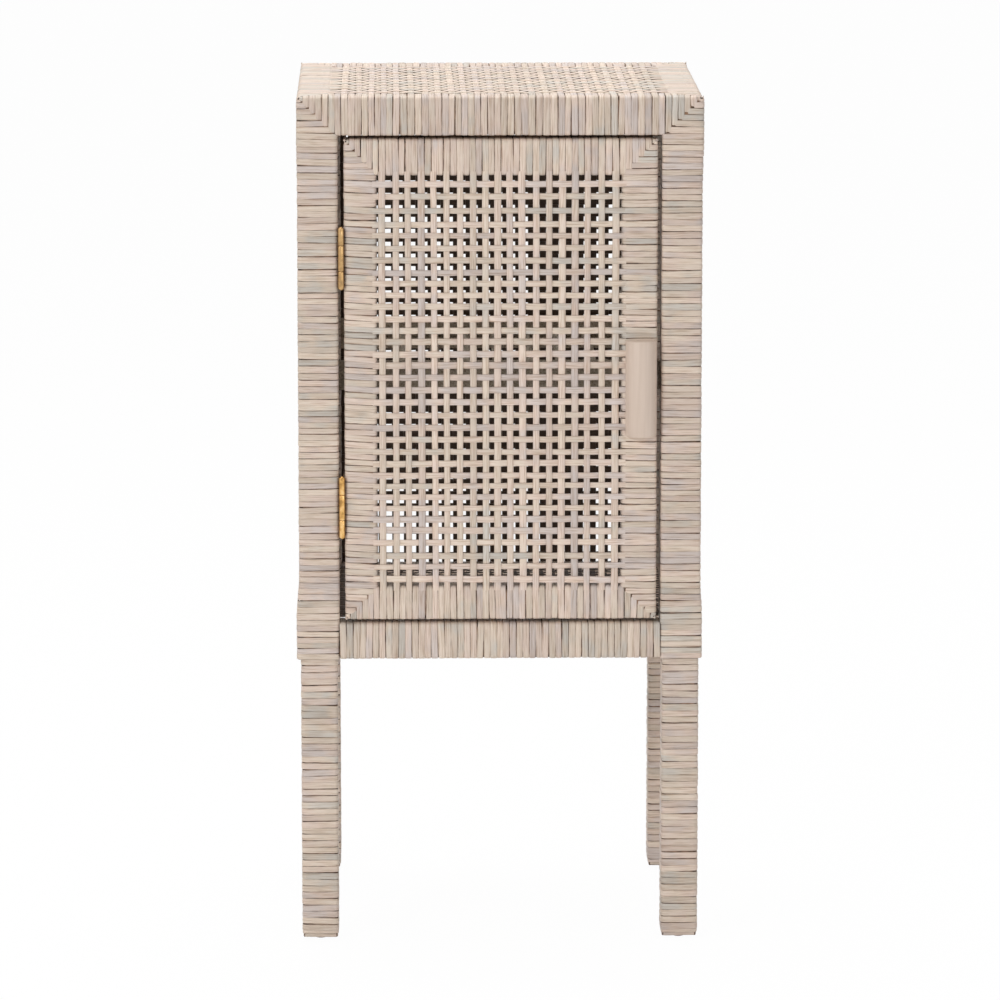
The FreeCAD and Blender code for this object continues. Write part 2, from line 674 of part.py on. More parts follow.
def hinge_leaf(name, x, centre, knuckles, bore, screws):
    """A leaf: its plate, the knuckles that curl from it, their bore and screw holes."""
    low, high = f"{centre} - hinge_length / 2", f"{centre} + hinge_length / 2"
    axis = (HINGE_X, HINGE_Y)
    pieces = [block(f"{name}_plate", x, (LEAF_START, f"{LEAF_START} + leaf_width"), (low, high))]
    for number, (start, end) in enumerate(knuckles):
        heights = (f"{low} + {start}", f"{low} + {end}")
        pieces.append(block(f"{name}_neck_{number}", x, (HINGE_Y, LEAF_START), heights))
        knuckle = f"{name}_knuckle_{number}"
        pieces.append(upright_bar(knuckle, "knuckle_radius", axis, *heights, SIDES_OF_KNUCKLE))
    drill = upright_bar(f"{name}_bore", bore, axis, low, high)
    return keep(cut(name, fused(f"{name}_blank", pieces), [drill, screws]), name)


END_KNUCKLES = [("0", "end_knuckle"), ("hinge_length - end_knuckle", "hinge_length")]
MIDDLE_KNUCKLE = [("end_knuckle + knuckle_gap", "hinge_length - end_knuckle - knuckle_gap")]
for place in ("upper", "lower"):
    centre = f"{place}_hinge_height"
    hinge_leaf(f"{place}_hinge_frame_leaf", FRAME_LEAF_X, centre, END_KNUCKLES, "pin_radius", frame_screws)
    running = "pin_radius + pin_clearance"
    hinge_leaf(f"{place}_hinge_door_leaf", DOOR_LEAF_X, centre, MIDDLE_KNUCKLE, running, door_screws)
    ends = (f"{centre} - hinge_length / 2", f"{centre} + hinge_length / 2")
    keep(upright_bar(f"{place}_hinge_pin", "pin_radius", (HINGE_X, HINGE_Y), *ends), f"{place}_hinge_pin")

# ---------------------------------------------------------------- pull, strike plate, glides

# Half-round pull on the lock stile, on the ends of the crossing strands.
PULL_BACK = f"({FRONT} + {WEAVER_STEP})"
PULL_X = f"({DOOR_RIGHT} - pull_inset)"
pull = new_body("door_pull")
pull_sketch = new_sketch(pull, "XY_Plane")
radius = size("pull_radius")
pull_sketch.addGeometry(Part.LineSegment(Vector(-radius, 0, 0), Vector(radius, 0, 0)))
pull_sketch.addGeometry(Part.Arc(Vector(-radius, 0, 0), Vector(0, -radius, 0), Vector(radius, 0, 0)))
pull_sketch.addConstraint(Sketcher.Constraint("Coincident", 0, 1, 1, 1))
pull_sketch.addConstraint(Sketcher.Constraint("Coincident", 0, 2, 1, 2))
pull_sketch.addConstraint(Sketcher.Constraint("Coincident", 1, 3, -1, 1))
pull_sketch.addConstraint(Sketcher.Constraint("PointOnObject", 0, 1, -1))
half_round = pull_sketch.addConstraint(Sketcher.Constraint("Radius", 1, radius))
pull_sketch.renameConstraint(half_round, "half_round")
bind(pull_sketch, "Constraints.half_round", "pull_radius")
padded(pull, pull_sketch, "pull_length")
placed(pull, FreeCAD.Rotation(), PULL_X, PULL_BACK, "pull_height - pull_length / 2")
keep(pull, "door_pull")

# Two screws hold it, through the stile from the back, their heads sunk flush.
FACING_BACK = FreeCAD.Rotation(AXES["z"], AXES["x"], AXES["y"], "XYZ")
pull_screws = new_body("pull_screws")
pull_screw_length = "door_thickness + weaver_thickness + pull_screw_bite"
screw_sketch, pads = screw_pads(pull_screws, "screw_head_radius", pull_screw_length)
repeated(pull_screws, pads, (screw_sketch, ["H_Axis"]), "pull_screw_spacing", "2")
placed(pull_screws, FACING_BACK, PULL_X, DOOR_BACK, "pull_height - pull_screw_spacing / 2")
keep(pull_screws, "pull_screws")

# A thin steel plate with a spur, driven into the door's back, meets the magnet.
plate_y = (DOOR_BACK, f"{DOOR_BACK} + plate_thickness")
plate = block("catch_plate_face", about(CATCH_X, "plate_width"), plate_y, about(CATCH_Z, "plate_length"))
spur_y = (f"{DOOR_BACK} - spur_length", DOOR_BACK)
spur = block("catch_plate_spur", about(CATCH_X, "spur_width"), spur_y, about(CATCH_Z, "spur_height"))
keep(fused("catch_plate", [plate, spur]), "catch_plate")

# Bevelled glides nailed up into the four legs.
glides = new_body("foot_glides")
glide_sketch = new_sketch(glides, "XY_Plane", "-glide_height")
polygon(glide_sketch, SIDES_OF_KNUCKLE, "glide_radius")
glide_pad = padded(glides, glide_sketch, "glide_height")
edges = enumerate(glide_pad.Shape.Edges, 1)
sole = [f"Edge{number}" for number, edge in edges if edge.BoundBox.ZMax < NOUGHT - size("glide_height")]
bevel = glides.newObject("PartDesign::Chamfer", "glide_bevel")
bevel.Base = (glide_pad, sole)
bind(bevel, "Size", "glide_bevel")
glides.Tip = bevel
nail_sketch = new_sketch(glides, "XY_Plane")
polygon(nail_sketch, SIDES_OF_SCREW, "glide_nail_radius")
doc.recompute()
padded(glides, nail_sketch, "glide_nail_length")
LEG_AXIS = "(post_outer_wrap + post_core / 2)"
repeated(glides, None, (glide_sketch, ["H_Axis"]), f"overall_width - 2 * {LEG_AXIS}", "2")
repeated(glides, None, (glide_sketch, ["V_Axis"]), f"carcass_depth - 2 * {LEG_AXIS}", "2")
placed(glides, FreeCAD.Rotation(), f"{LEFT} + {LEG_AXIS}", f"{FRONT} + {LEG_AXIS}", "glide_height")
keep(glides, "foot_glides")

# ---------------------------------------------------------------- checks and files

doc.recompute()
for thing in doc.Objects:
    if "Invalid" in thing.State or "Error" in thing.State:
        raise RuntimeError(f"{thing.Name} did not recompute: {thing.State}")
for piece in nodes:
    if piece.Shape.isNull() or not piece.Shape.isValid() or not piece.Shape.Solids:
        raise RuntimeError(f"{piece.Label} is not a sound solid")

os.makedirs("parts", exist_ok=True)
for piece in nodes:
    piece.Shape.exportStep(f"parts/{piece.Label}.step")
print(len(nodes), "pieces written")
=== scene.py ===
import math
import random

import bmesh
import bpy
from mathutils import Matrix, Vector


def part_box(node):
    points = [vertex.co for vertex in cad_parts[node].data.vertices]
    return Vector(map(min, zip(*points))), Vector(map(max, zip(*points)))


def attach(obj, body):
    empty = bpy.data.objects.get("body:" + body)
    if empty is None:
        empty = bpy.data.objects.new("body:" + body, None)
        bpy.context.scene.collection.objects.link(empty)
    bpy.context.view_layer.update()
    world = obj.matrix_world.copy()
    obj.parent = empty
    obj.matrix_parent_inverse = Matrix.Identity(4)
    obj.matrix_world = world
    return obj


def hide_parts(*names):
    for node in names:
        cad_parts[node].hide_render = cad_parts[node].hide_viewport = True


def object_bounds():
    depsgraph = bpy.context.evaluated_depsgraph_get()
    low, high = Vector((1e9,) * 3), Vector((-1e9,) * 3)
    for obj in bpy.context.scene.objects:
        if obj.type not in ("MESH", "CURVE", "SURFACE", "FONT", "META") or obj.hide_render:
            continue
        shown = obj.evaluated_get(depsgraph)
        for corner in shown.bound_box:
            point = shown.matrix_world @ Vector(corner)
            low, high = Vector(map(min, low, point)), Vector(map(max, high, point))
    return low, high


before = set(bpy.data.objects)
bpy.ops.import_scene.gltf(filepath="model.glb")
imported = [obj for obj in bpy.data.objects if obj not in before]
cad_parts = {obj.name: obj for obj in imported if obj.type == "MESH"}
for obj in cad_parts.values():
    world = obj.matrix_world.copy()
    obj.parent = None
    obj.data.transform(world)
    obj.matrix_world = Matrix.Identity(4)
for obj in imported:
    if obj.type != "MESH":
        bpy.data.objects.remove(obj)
cad_low, cad_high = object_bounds()
MM = 0.001

# ------------------------------------------------------------------ the set
# A pale floor in a white studio, lit by large soft lamps from the left, the right and
# above. The camera stands well back, a little above the top and left of the middle.
scene = bpy.context.scene
scene.view_settings.view_transform = "Standard"
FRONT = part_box("front_left_post_binding")[0].y
BACK = cad_high.y
CAMERA_DISTANCE = 4.862
CAMERA_HEIGHT = 1.2167
CAMERA_LEFT = 0.0943
AIM_HEIGHT = 0.3769
LENS = 213.8
SENSOR = 36.0
LAMP_AIM_HEIGHT = 0.4
FLOOR_HALF = 40.0
WORLD_LIGHT = 0.35
FLOOR_GLOW = 0.975


def add_node(tree, kind, inputs=None, stops=None, **settings):
    """Adds a node. Its inputs, by name or number, take a value, another node's socket, or
    a node, which gives its first live output. stops are the colours of a colour ramp."""
    made = tree.nodes.new(kind)
    for name, value in settings.items():
        setattr(made, name, value)
    for name, value in (inputs or {}).items():
        if isinstance(value, bpy.types.Node):
            value = next(socket for socket in value.outputs if socket.enabled)
        if isinstance(value, bpy.types.NodeSocket):
            tree.links.new(value, made.inputs[name])
        else:
            made.inputs[name].default_value = value
    if stops:
        ramp = made.color_ramp.elements
        while len(ramp) < len(stops):
            ramp.new(1.0)
        for element, (position, colour) in zip(ramp, stops):
            element.position = position
            element.color = linear(colour)
    return made


def linear(colour):
    """An sRGB hex colour as the linear colour that a shader takes."""
    channels = [int(colour[start:start + 2], 16) / 255 for start in (1, 3, 5)]
    linears = [c / 12.92 if c <= 0.04045 else ((c + 0.055) / 1.055) ** 2.4 for c in channels]
    return (*linears, 1.0)


def painted(name, tree_of):
    """A material whose node tree is made by the function tree_of, which returns its shader."""
    material = bpy.data.materials.new(name)
    material.use_nodes = True
    tree = material.node_tree
    tree.nodes.clear()
    add_node(tree, "ShaderNodeOutputMaterial", {"Surface": tree_of(tree)})
    return material


def seen_directly(tree):
    """1 for what the camera sees, also in a mirror or through glass, and 0 for light."""
    path = add_node(tree, "ShaderNodeLightPath")
    seen = path.outputs["Is Camera Ray"]
    for other in ("Is Glossy Ray", "Is Transmission Ray"):
        seen = add_node(tree, "ShaderNodeMath", {0: seen, 1: path.outputs[other]}, operation="MAXIMUM")
    return seen


def stand(name, data, place, aim):
    """Stands a camera or a lamp at a place, turned towards aim."""
    made = bpy.data.objects.new(name, data)
    made.location = place
    made.rotation_euler = (Vector(aim) - Vector(place)).to_track_quat("-Z", "Y").to_euler()
    scene.collection.objects.link(made)
    return made


def place_camera():
    data = bpy.data.cameras.new("camera")
    data.lens = LENS
    data.sensor_width = SENSOR
    place = (-CAMERA_LEFT, FRONT - CAMERA_DISTANCE, CAMERA_HEIGHT)
    scene.camera = stand("camera", data, place, (0, FRONT, AIM_HEIGHT))


def hang_lamp(name, place, size, power):
    """A square soft lamp that points at the middle of the table."""
    data = bpy.data.lights.new(name, "AREA")
    data.size = size
    data.energy = power
    stand(name, data, place, (0, 0, LAMP_AIM_HEIGHT))


def light_room():
    """Soft light from all round, behind which the camera sees plain white."""
    world = bpy.data.worlds.new("studio")
    scene.world = world
    world.use_nodes = True
    tree = world.node_tree
    tree.nodes.clear()
    white = linear("#ffffff")
    light = add_node(tree, "ShaderNodeBackground", {"Color": white, "Strength": WORLD_LIGHT})
    backdrop = add_node(tree, "ShaderNodeBackground", {"Color": white, "Strength": 1.0})
    both = add_node(tree, "ShaderNodeMixShader", {0: seen_directly(tree), 1: light, 2: backdrop})
    add_node(tree, "ShaderNodeOutputWorld", {"Surface": both})


def floor_paint(tree):
    """White paint that looks lit up to the camera, so that only a faint shadow shows."""
    matt = add_node(tree, "ShaderNodeBsdfDiffuse", {"Color": linear("#ffffff")})
    glow = add_node(tree, "ShaderNodeEmission", {"Strength": 1.0})
    share = add_node(tree, "ShaderNodeMath", {0: seen_directly(tree), 1: FLOOR_GLOW}, operation="MULTIPLY")
    return add_node(tree, "ShaderNodeMixShader", {0: share, 1: matt, 2: glow})


def lay_floor():
    mesh = bpy.data.meshes.new("floor")
    corners = [(x * FLOOR_HALF, y * FLOOR_HALF, 0) for x, y in ((-1, -1), (1, -1), (1, 1), (-1, 1))]
    mesh.from_pydata(corners, [], [(0, 1, 2, 3)])
    mesh.materials.append(painted("white floor paint", floor_paint))
    floor = bpy.data.objects.new("floor", mesh)
    scene.collection.objects.link(floor)


place_camera()
hang_lamp("key lamp", place=(-2.3, -3.2, 2.1), size=1.6, power=57)
hang_lamp("fill lamp", place=(2.6, -3.2, 1.3), size=2.2, power=18)
hang_lamp("top lamp", place=(-0.2, 0.6, 3.2), size=2.0, power=60)
light_room()
lay_floor()

# ------------------------------------------------------------------ wooden frame
# Four posts, eight rails and the door's top rail are of brown stained pine. The winding
# hides nearly all of it; it shows through the gaps where pieces meet.


def grained(tree, dark, pale, grain_width=1.4 * MM, grain_length=40 * MM):
    """A colour between dark and pale in long soft lines, as sawn wood shows along its grain."""
    where = add_node(tree, "ShaderNodeTexCoord").outputs["Object"]
    stretched = add_node(tree, "ShaderNodeMapping", {
        "Vector": where, "Scale": (1 / grain_width, 1 / grain_width, 1 / grain_length)})
    lines = add_node(tree, "ShaderNodeTexNoise", {"Vector": stretched, "Scale": 1.0, "Detail": 3.0})
    spread = add_node(tree, "ShaderNodeMapRange", {0: lines, 1: 0.3, 2: 0.7})
    colour = add_node(tree, "ShaderNodeMix", {0: spread, 6: linear(dark), 7: linear(pale)}, data_type="RGBA")
    return colour, lines


def stained_pine(tree):
    """Pine in a brown water stain: dull, with darker lines along the grain."""
    colour, lines = grained(tree, "#3a271a", "#6b4a34")
    relief = add_node(tree, "ShaderNodeBump", {"Height": lines, "Strength": 0.2, "Distance": 0.2 * MM})
    return add_node(tree, "ShaderNodeBsdfPrincipled", {
        "Base Color": colour, "Roughness": 0.7, "Normal": relief})


def finish(material, *names):
    """Gives CAD pieces their material."""
    for name in names:
        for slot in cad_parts[name].material_slots:
            slot.material = material


PINE = painted("stained pine", stained_pine)
RAIL_WAYS = ("front", "back", "left", "right")
finish(PINE, *[f"{depth}_{side}_post" for depth in ("front", "back") for side in ("left", "right")])
finish(PINE, *[f"{height}_{way}_rail" for height in ("top", "lower") for way in RAIL_WAYS])
finish(PINE, "door_top_rail")

# ------------------------------------------------------------------ winding of the posts
# Each post is bound from the floor to the top with flat rattan strip, turn against turn,
# thicker beside the cabinet than on the legs. Near the top the turns shorten, so that
# they meet those of the rails on the diagonal.
STRIP_WIDTH = 5.0 * MM
STRIP_THICKNESS = 1.2 * MM
LEG_STRIP_WIDTH = 5.5 * MM
TURN_RADIUS = 2.8 * MM
TURN_UNEVENNESS = 0.16 * MM
TURN_LEAN = 0.2 * MM
TURN_WANDER = 0.24 * MM
POST_END_RADIUS = 3.4 * MM
LEG_WRAP = 1.6 * MM
LEG_LAP = 6 * MM
FOOT_HOLLOW = 3 * MM
PACKING_DEPTH = 1.0 * MM
LOWER_SWELLING = {"left": 2.3 * MM, "right": 1.4 * MM}
UPPER_SWELLING = {"left": 0.3 * MM, "right": 1.0 * MM}
SWELL_ABOVE_FLOOR = 20 * MM
SWELL_UNDER_TOP = 22 * MM
TIE_IN = 40 * MM
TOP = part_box("front_left_post_binding")[1].z
CARCASS_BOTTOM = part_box("lower_front_rail_binding")[0].z
OPENING_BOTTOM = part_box("lower_front_rail_binding")[1].z
OPENING_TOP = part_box("top_front_rail_binding")[0].z
HALF_WIDTH = cad_high.x
# For strips that lie level with one axis, that axis comes last.
ORDER = {"x": "yzx", "y": "zxy", "z": "xyz"}


def mottled(tree, size, detail=3.0):
    """Soft patches of about a size, all through a piece."""
    where = add_node(tree, "ShaderNodeTexCoord").outputs["Object"]
    return add_node(tree, "ShaderNodeTexNoise", {"Vector": where, "Scale": 1 / size, "Detail": detail})


def whitewashed_rattan(tree, staining=0.9, paleness=1.0):
    """Split rattan, brushed with thin white wash on its outer face: matt, with long fine
    fibres, patches of pink, cream and grey, edges stained brown where the wash has rubbed
    off, and bare brown on the inner face."""
    fibre_width, fibre_length, stain_length = 0.6 * MM, 22 * MM, 12 * MM
    # How far a strip's own tint shifts its hue, its shade, its fibres and its stains.
    own_hue, own_shade, own_fibre, own_stain = 0.46, 7.3, 60.0, 83.0
    place = add_node(tree, "ShaderNodeAttribute", attribute_name="strip_place")
    along, across, outer = add_node(tree, "ShaderNodeSeparateXYZ", {0: place.outputs["Vector"]}).outputs
    tint = add_node(tree, "ShaderNodeAttribute", attribute_name="tint").outputs["Fac"]

    patch = mottled(tree, 30 * MM, 2.0)
    own = add_node(tree, "ShaderNodeMath", {0: tint, 1: own_hue, 2: -own_hue / 2}, operation="MULTIPLY_ADD")
    hue = add_node(tree, "ShaderNodeMath", {0: patch, 1: own}, operation="ADD")
    wash = add_node(tree, "ShaderNodeValToRGB", {"Fac": hue}, stops=[
        (0.24, "#d3c7c1"), (0.4, "#dfccbf"), (0.52, "#e2d2c3"), (0.64, "#dccdbd"), (0.78, "#cfc8bf")])
    shade_own = add_node(tree, "ShaderNodeMath", {0: tint, 1: own_shade}, operation="MULTIPLY")
    shade_part = add_node(tree, "ShaderNodeMath", {0: shade_own}, operation="FRACT")
    shade = add_node(tree, "ShaderNodeMapRange", {
        0: shade_part, 1: 0.0, 2: 1.0, 3: 0.86 * paleness, 4: 1.06 * paleness})
    shaded = add_node(tree, "ShaderNodeVectorMath", {0: wash, "Scale": shade}, operation="SCALE")

    fibre_along = add_node(tree, "ShaderNodeMath", {0: along, 1: 1 / fibre_length}, operation="MULTIPLY")
    fibre_across = add_node(tree, "ShaderNodeMath", {
        0: across, 1: STRIP_WIDTH / 2 / fibre_width}, operation="MULTIPLY")
    fibre_own = add_node(tree, "ShaderNodeMath", {0: tint, 1: own_fibre}, operation="MULTIPLY")
    strand = add_node(tree, "ShaderNodeCombineXYZ", {0: fibre_along, 1: fibre_across, 2: fibre_own})
    fibre = add_node(tree, "ShaderNodeTexNoise", {"Vector": strand, "Scale": 1.0, "Detail": 3.0})
    streak = add_node(tree, "ShaderNodeValToRGB", {"Fac": fibre}, stops=[
        (0.28, "#bdaa9a"), (0.42, "#e9e0d7"), (0.55, "#ffffff"), (0.78, "#f0e9e2")])
    fibrous = add_node(tree, "ShaderNodeMix", {
        0: 0.8, 6: shaded, 7: streak}, data_type="RGBA", blend_type="MULTIPLY")

    stain_along = add_node(tree, "ShaderNodeMath", {0: along, 1: 1 / stain_length}, operation="MULTIPLY")
    stain_own = add_node(tree, "ShaderNodeMath", {0: tint, 1: own_stain}, operation="MULTIPLY")
    stain_place = add_node(tree, "ShaderNodeCombineXYZ", {0: stain_along, 1: across, 2: stain_own})
    stain = add_node(tree, "ShaderNodeTexNoise", {"Vector": stain_place, "Scale": 1.0, "Detail": 2.0})
    nearness = add_node(tree, "ShaderNodeMath", {0: across}, operation="ABSOLUTE")
    rim = add_node(tree, "ShaderNodeMapRange", {0: nearness, 1: 0.8, 2: 0.98, 3: 0.0, 4: 1.0})
    thin = add_node(tree, "ShaderNodeMapRange", {0: stain, 1: 0.44, 2: 0.66, 3: 0.0, 4: staining})
    edge = add_node(tree, "ShaderNodeMath", {0: rim, 1: thin}, operation="MULTIPLY")
    worn = add_node(tree, "ShaderNodeMix", {0: edge, 6: fibrous, 7: linear("#6f513e")}, data_type="RGBA")

    bare = add_node(tree, "ShaderNodeMix", {
        0: fibre, 6: linear("#32231a"), 7: linear("#604b39")}, data_type="RGBA")
    inside = add_node(tree, "ShaderNodeMapRange", {0: outer, 1: -0.15, 2: -0.45, 3: 0.0, 4: 1.0})
    colour = add_node(tree, "ShaderNodeMix", {0: inside, 6: worn, 7: bare}, data_type="RGBA")
    relief = add_node(tree, "ShaderNodeBump", {"Height": fibre, "Strength": 0.4, "Distance": 0.25 * MM})
    return add_node(tree, "ShaderNodeBsdfPrincipled", {
        "Base Color": colour, "Roughness": 0.5, "IOR": 1.5, "Normal": relief})


def brown_packing(tree):
    """The lower turns and ends that the winding covers: raw brown rattan, dusty and dull."""
    spread = add_node(tree, "ShaderNodeMapRange", {0: mottled(tree, 9 * MM), 1: 0.35, 2: 0.65})
    colour = add_node(tree, "ShaderNodeMix", {
        0: spread, 6: linear("#33231a"), 7: linear("#96775f")}, data_type="RGBA")
    return add_node(tree, "ShaderNodeBsdfPrincipled", {"Base Color": colour, "Roughness": 0.85})


RATTAN = painted("whitewashed split rattan", whitewashed_rattan)
PACKING = painted("raw rattan packing", brown_packing)


def begin_tree(name, inputs):
    """A new geometry node tree with named inputs, each with its kind, and their sockets."""
    tree = bpy.data.node_groups.new(name, "GeometryNodeTree")
    for socket, kind in inputs.items():
        tree.interface.new_socket(socket, in_out="INPUT", socket_type=f"NodeSocket{kind}")
    tree.interface.new_socket("Piece", in_out="OUTPUT", socket_type="NodeSocketGeometry")
    return tree, add_node(tree, "NodeGroupInput").outputs


def end_tree(tree, geometry, material):
    """Makes a tree give its geometry as real faces, all of one material."""
    whole = add_node(tree, "GeometryNodeRealizeInstances", {"Geometry": geometry})
    finished = add_node(tree, "GeometryNodeSetMaterial", {"Geometry": whole, "Material": material})
    add_node(tree, "NodeGroupOutput", {0: finished})
    return tree


def grow_strip_tree():
    """Geometry nodes: along each guide runs a flat strip with rounded edges, which wanders
    a little sideways. A guide lies in a level plane, so the strip's flat face looks out."""
    tree, given = begin_tree("flat strip along its guide", {
        "Guides": "Geometry", "Width": "Float", "Thickness": "Float", "Flatness": "Float", "Wander": "Float",
        "Wander length": "Float", "Seed": "Float", "Sides": "Int", "Material": "Material"})
    curves = add_node(tree, "GeometryNodeMeshToCurve", {"Mesh": given["Guides"]})
    level = add_node(tree, "GeometryNodeSetCurveNormal", {"Curve": curves}, mode="Z_UP")
    tint = add_node(tree, "GeometryNodeInputNamedAttribute", {"Name": "tint"}, data_type="FLOAT")
    girth = add_node(tree, "GeometryNodeInputNamedAttribute", {"Name": "girth"}, data_type="FLOAT")
    here = add_node(tree, "GeometryNodeInputPosition")
    seeds_apart = 97.0
    own_seed = add_node(tree, "ShaderNodeMath", {
        0: tint, 1: seeds_apart, 2: given["Seed"]}, operation="MULTIPLY_ADD")
    often = add_node(tree, "ShaderNodeMath", {0: 1.0, 1: given["Wander length"]}, operation="DIVIDE")
    noise = add_node(tree, "ShaderNodeTexNoise", {
        "Vector": here, "W": own_seed, "Scale": often, "Detail": 1.0}, noise_dimensions="4D")
    centred = add_node(tree, "ShaderNodeMath", {0: noise, 1: 2.0, 2: -1.0}, operation="MULTIPLY_ADD")
    sideways = add_node(tree, "ShaderNodeMath", {0: centred, 1: given["Wander"]}, operation="MULTIPLY")
    drift = add_node(tree, "ShaderNodeCombineXYZ", {2: sideways})
    waved = add_node(tree, "GeometryNodeSetPosition", {"Geometry": level, "Offset": drift})
    measured = add_node(tree, "GeometryNodeCaptureAttribute", {"Geometry": waved})
    measured.capture_items.new("FLOAT", "along")
    length = add_node(tree, "GeometryNodeSplineParameter").outputs["Length"]
    tree.links.new(length, measured.inputs["along"])

    circle = add_node(tree, "GeometryNodeCurvePrimitiveCircle", {"Resolution": given["Sides"], "Radius": 1.0})
    corner = add_node(tree, "GeometryNodeInputPosition")
    round_sides = add_node(tree, "ShaderNodeSeparateXYZ", {0: corner}).outputs
    # Powers below 1 push a circle's points out towards a flat outline with round corners.
    squared = []
    for side, squeeze in ((round_sides[0], 0.7), (round_sides[1], 0.4)):
        power = add_node(tree, "ShaderNodeMath", {0: squeeze, 1: given["Flatness"]}, operation="POWER")
        distance = add_node(tree, "ShaderNodeMath", {0: side}, operation="ABSOLUTE")
        raised = add_node(tree, "ShaderNodeMath", {0: distance, 1: power}, operation="POWER")
        sign = add_node(tree, "ShaderNodeMath", {0: side}, operation="SIGN")
        squared.append(add_node(tree, "ShaderNodeMath", {0: raised, 1: sign}, operation="MULTIPLY"))
    outer, across = squared
    shape = add_node(tree, "GeometryNodeCaptureAttribute", {"Geometry": circle})
    shape.capture_items.new("VECTOR", "shape")
    outline = add_node(tree, "ShaderNodeCombineXYZ", {0: outer, 1: across})
    tree.links.new(outline.outputs[0], shape.inputs["shape"])
    half_size = add_node(tree, "ShaderNodeCombineXYZ", {0: given["Thickness"], 1: given["Width"]})
    doubled = add_node(tree, "ShaderNodeVectorMath", {0: outline, 1: half_size}, operation="MULTIPLY")
    real = add_node(tree, "ShaderNodeVectorMath", {0: doubled, "Scale": 0.5}, operation="SCALE")
    profile = add_node(tree, "GeometryNodeSetPosition", {"Geometry": shape, "Position": real})

    skin = add_node(tree, "GeometryNodeCurveToMesh", {
        "Curve": measured, "Profile Curve": profile, "Scale": girth, "Fill Caps": True})
    face = add_node(tree, "ShaderNodeSeparateXYZ", {0: shape.outputs["shape"]}).outputs
    record = add_node(tree, "ShaderNodeCombineXYZ", {0: measured.outputs["along"], 1: face[1], 2: face[0]})
    stored = add_node(tree, "GeometryNodeStoreNamedAttribute", {
        "Geometry": skin, "Name": "strip_place", "Value": record}, data_type="FLOAT_VECTOR", domain="POINT")
    smooth = add_node(tree, "GeometryNodeSetShadeSmooth", {"Geometry": stored})
    return end_tree(tree, smooth, given["Material"])


STRIP_TREE = grow_strip_tree()


def chance(*words):
    """Random numbers that are always the same for the same words."""
    return random.Random(" ".join(map(str, words)))


def grown(name, tree, mesh, settings):
    """A new object whose plain mesh is what a geometry node tree makes of another mesh."""
    piece = bpy.data.objects.new(name, mesh)
    scene.collection.objects.link(piece)
    modifier = piece.modifiers.new("tree", "NODES")
    modifier.node_group = tree
    for item in tree.interface.items_tree:
        if item.name in settings:
            modifier[item.identifier] = settings[item.name]
    graph = bpy.context.evaluated_depsgraph_get()
    piece.data = bpy.data.meshes.new_from_object(
        piece.evaluated_get(graph), preserve_all_data_layers=True, depsgraph=graph)
    piece.modifiers.remove(modifier)
    piece.data.name = name
    bpy.data.meshes.remove(mesh)
    return piece


def seated(piece, body, slot, *replaced):
    """Hangs a piece on the empty of the body it rides on and hides the CAD pieces that it stands for. slot,
    what it is made of, is not used.
    """
    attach(piece, body)
    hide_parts(*replaced)


def add_block(shell, ranges, easing):
    """Adds a block with eased edges, from its low to its high plane along each axis."""
    middle = Vector([(low + high) / 2 for low, high in ranges])
    size = [high - low for low, high in ranges]
    made = bmesh.ops.create_cube(shell, size=1, matrix=Matrix.LocRotScale(middle, None, size))
    edges = {edge for vertex in made["verts"] for edge in vertex.link_edges}
    eased = bmesh.ops.bevel(shell, geom=list(edges), offset=easing, segments=2, affect="EDGES")
    return {face for vertex in eased["verts"] for face in vertex.link_faces}


def add_packing(mesh, boxes):
    """Adds eased blocks of packing inside a winding."""
    mesh.materials.append(PACKING)
    shell = bmesh.new()
    shell.from_mesh(mesh)
    for ranges in boxes:
        for face in add_block(shell, ranges, TURN_RADIUS):
            face.material_index = len(mesh.materials) - 1
    shell.to_mesh(mesh)
    shell.free()


def bend_strips(name, guides, level_axis, width, thickness, wander, material=RATTAN,
                wander_length=18 * MM, sides=8, flatness=1.0):
    """Bends a strip along every guide and keeps the lot as one plain mesh, in its place.
    A guide is (points, closed, tint, girth), its points ordered so that level_axis is last."""
    points, edges, tints, girths = [], [], [], []
    for path, closed, tint, girth in guides:
        first, last = len(points), len(points) + len(path) - 1
        points += path
        edges += [(number, number + 1) for number in range(first, last)]
        if closed:
            edges.append((last, first))
        tints += [tint] * len(path)
        girths += [girth] * len(path)
    mesh = bpy.data.meshes.new(name + "_guides")
    mesh.from_pydata(points, edges, [])
    for attribute, values in (("tint", tints), ("girth", girths)):
        mesh.attributes.new(attribute, "FLOAT", "POINT").data.foreach_set("value", values)
    piece = grown(name, STRIP_TREE, mesh, {
        "Width": width, "Thickness": thickness, "Flatness": flatness, "Wander": wander,
        "Wander length": wander_length, "Seed": float(len(name)), "Sides": sides, "Material": material})
    turn = Matrix([[float(axis == kept) for axis in ORDER[level_axis]] for kept in "xyz"])
    piece.data.transform(turn.to_4x4())
    return piece


def rounded_loop(low, high):
    """A rectangle with rounded corners, counter-clockwise, in a turn's own plane."""
    arc_steps, side_steps, roundest = 4, 3, 0.45
    radius = min(TURN_RADIUS, roundest * (high[0] - low[0]), roundest * (high[1] - low[1]))
    corners = ((high[0] - radius, high[1] - radius), (low[0] + radius, high[1] - radius),
               (low[0] + radius, low[1] + radius), (high[0] - radius, low[1] + radius))
    arcs = []
    for quarter, (x, y) in enumerate(corners):
        angles = [math.radians(90 * (quarter + step / arc_steps)) for step in range(arc_steps + 1)]
        arcs.append([(x + radius * math.cos(angle), y + radius * math.sin(angle)) for angle in angles])
    loop = []
    for quarter, arc in enumerate(arcs):
        start, end = Vector(arc[-1]), Vector(arcs[(quarter + 1) % 4][0])
        loop += arc + [tuple(start.lerp(end, step / side_steps)) for step in range(1, side_steps)]
    return loop


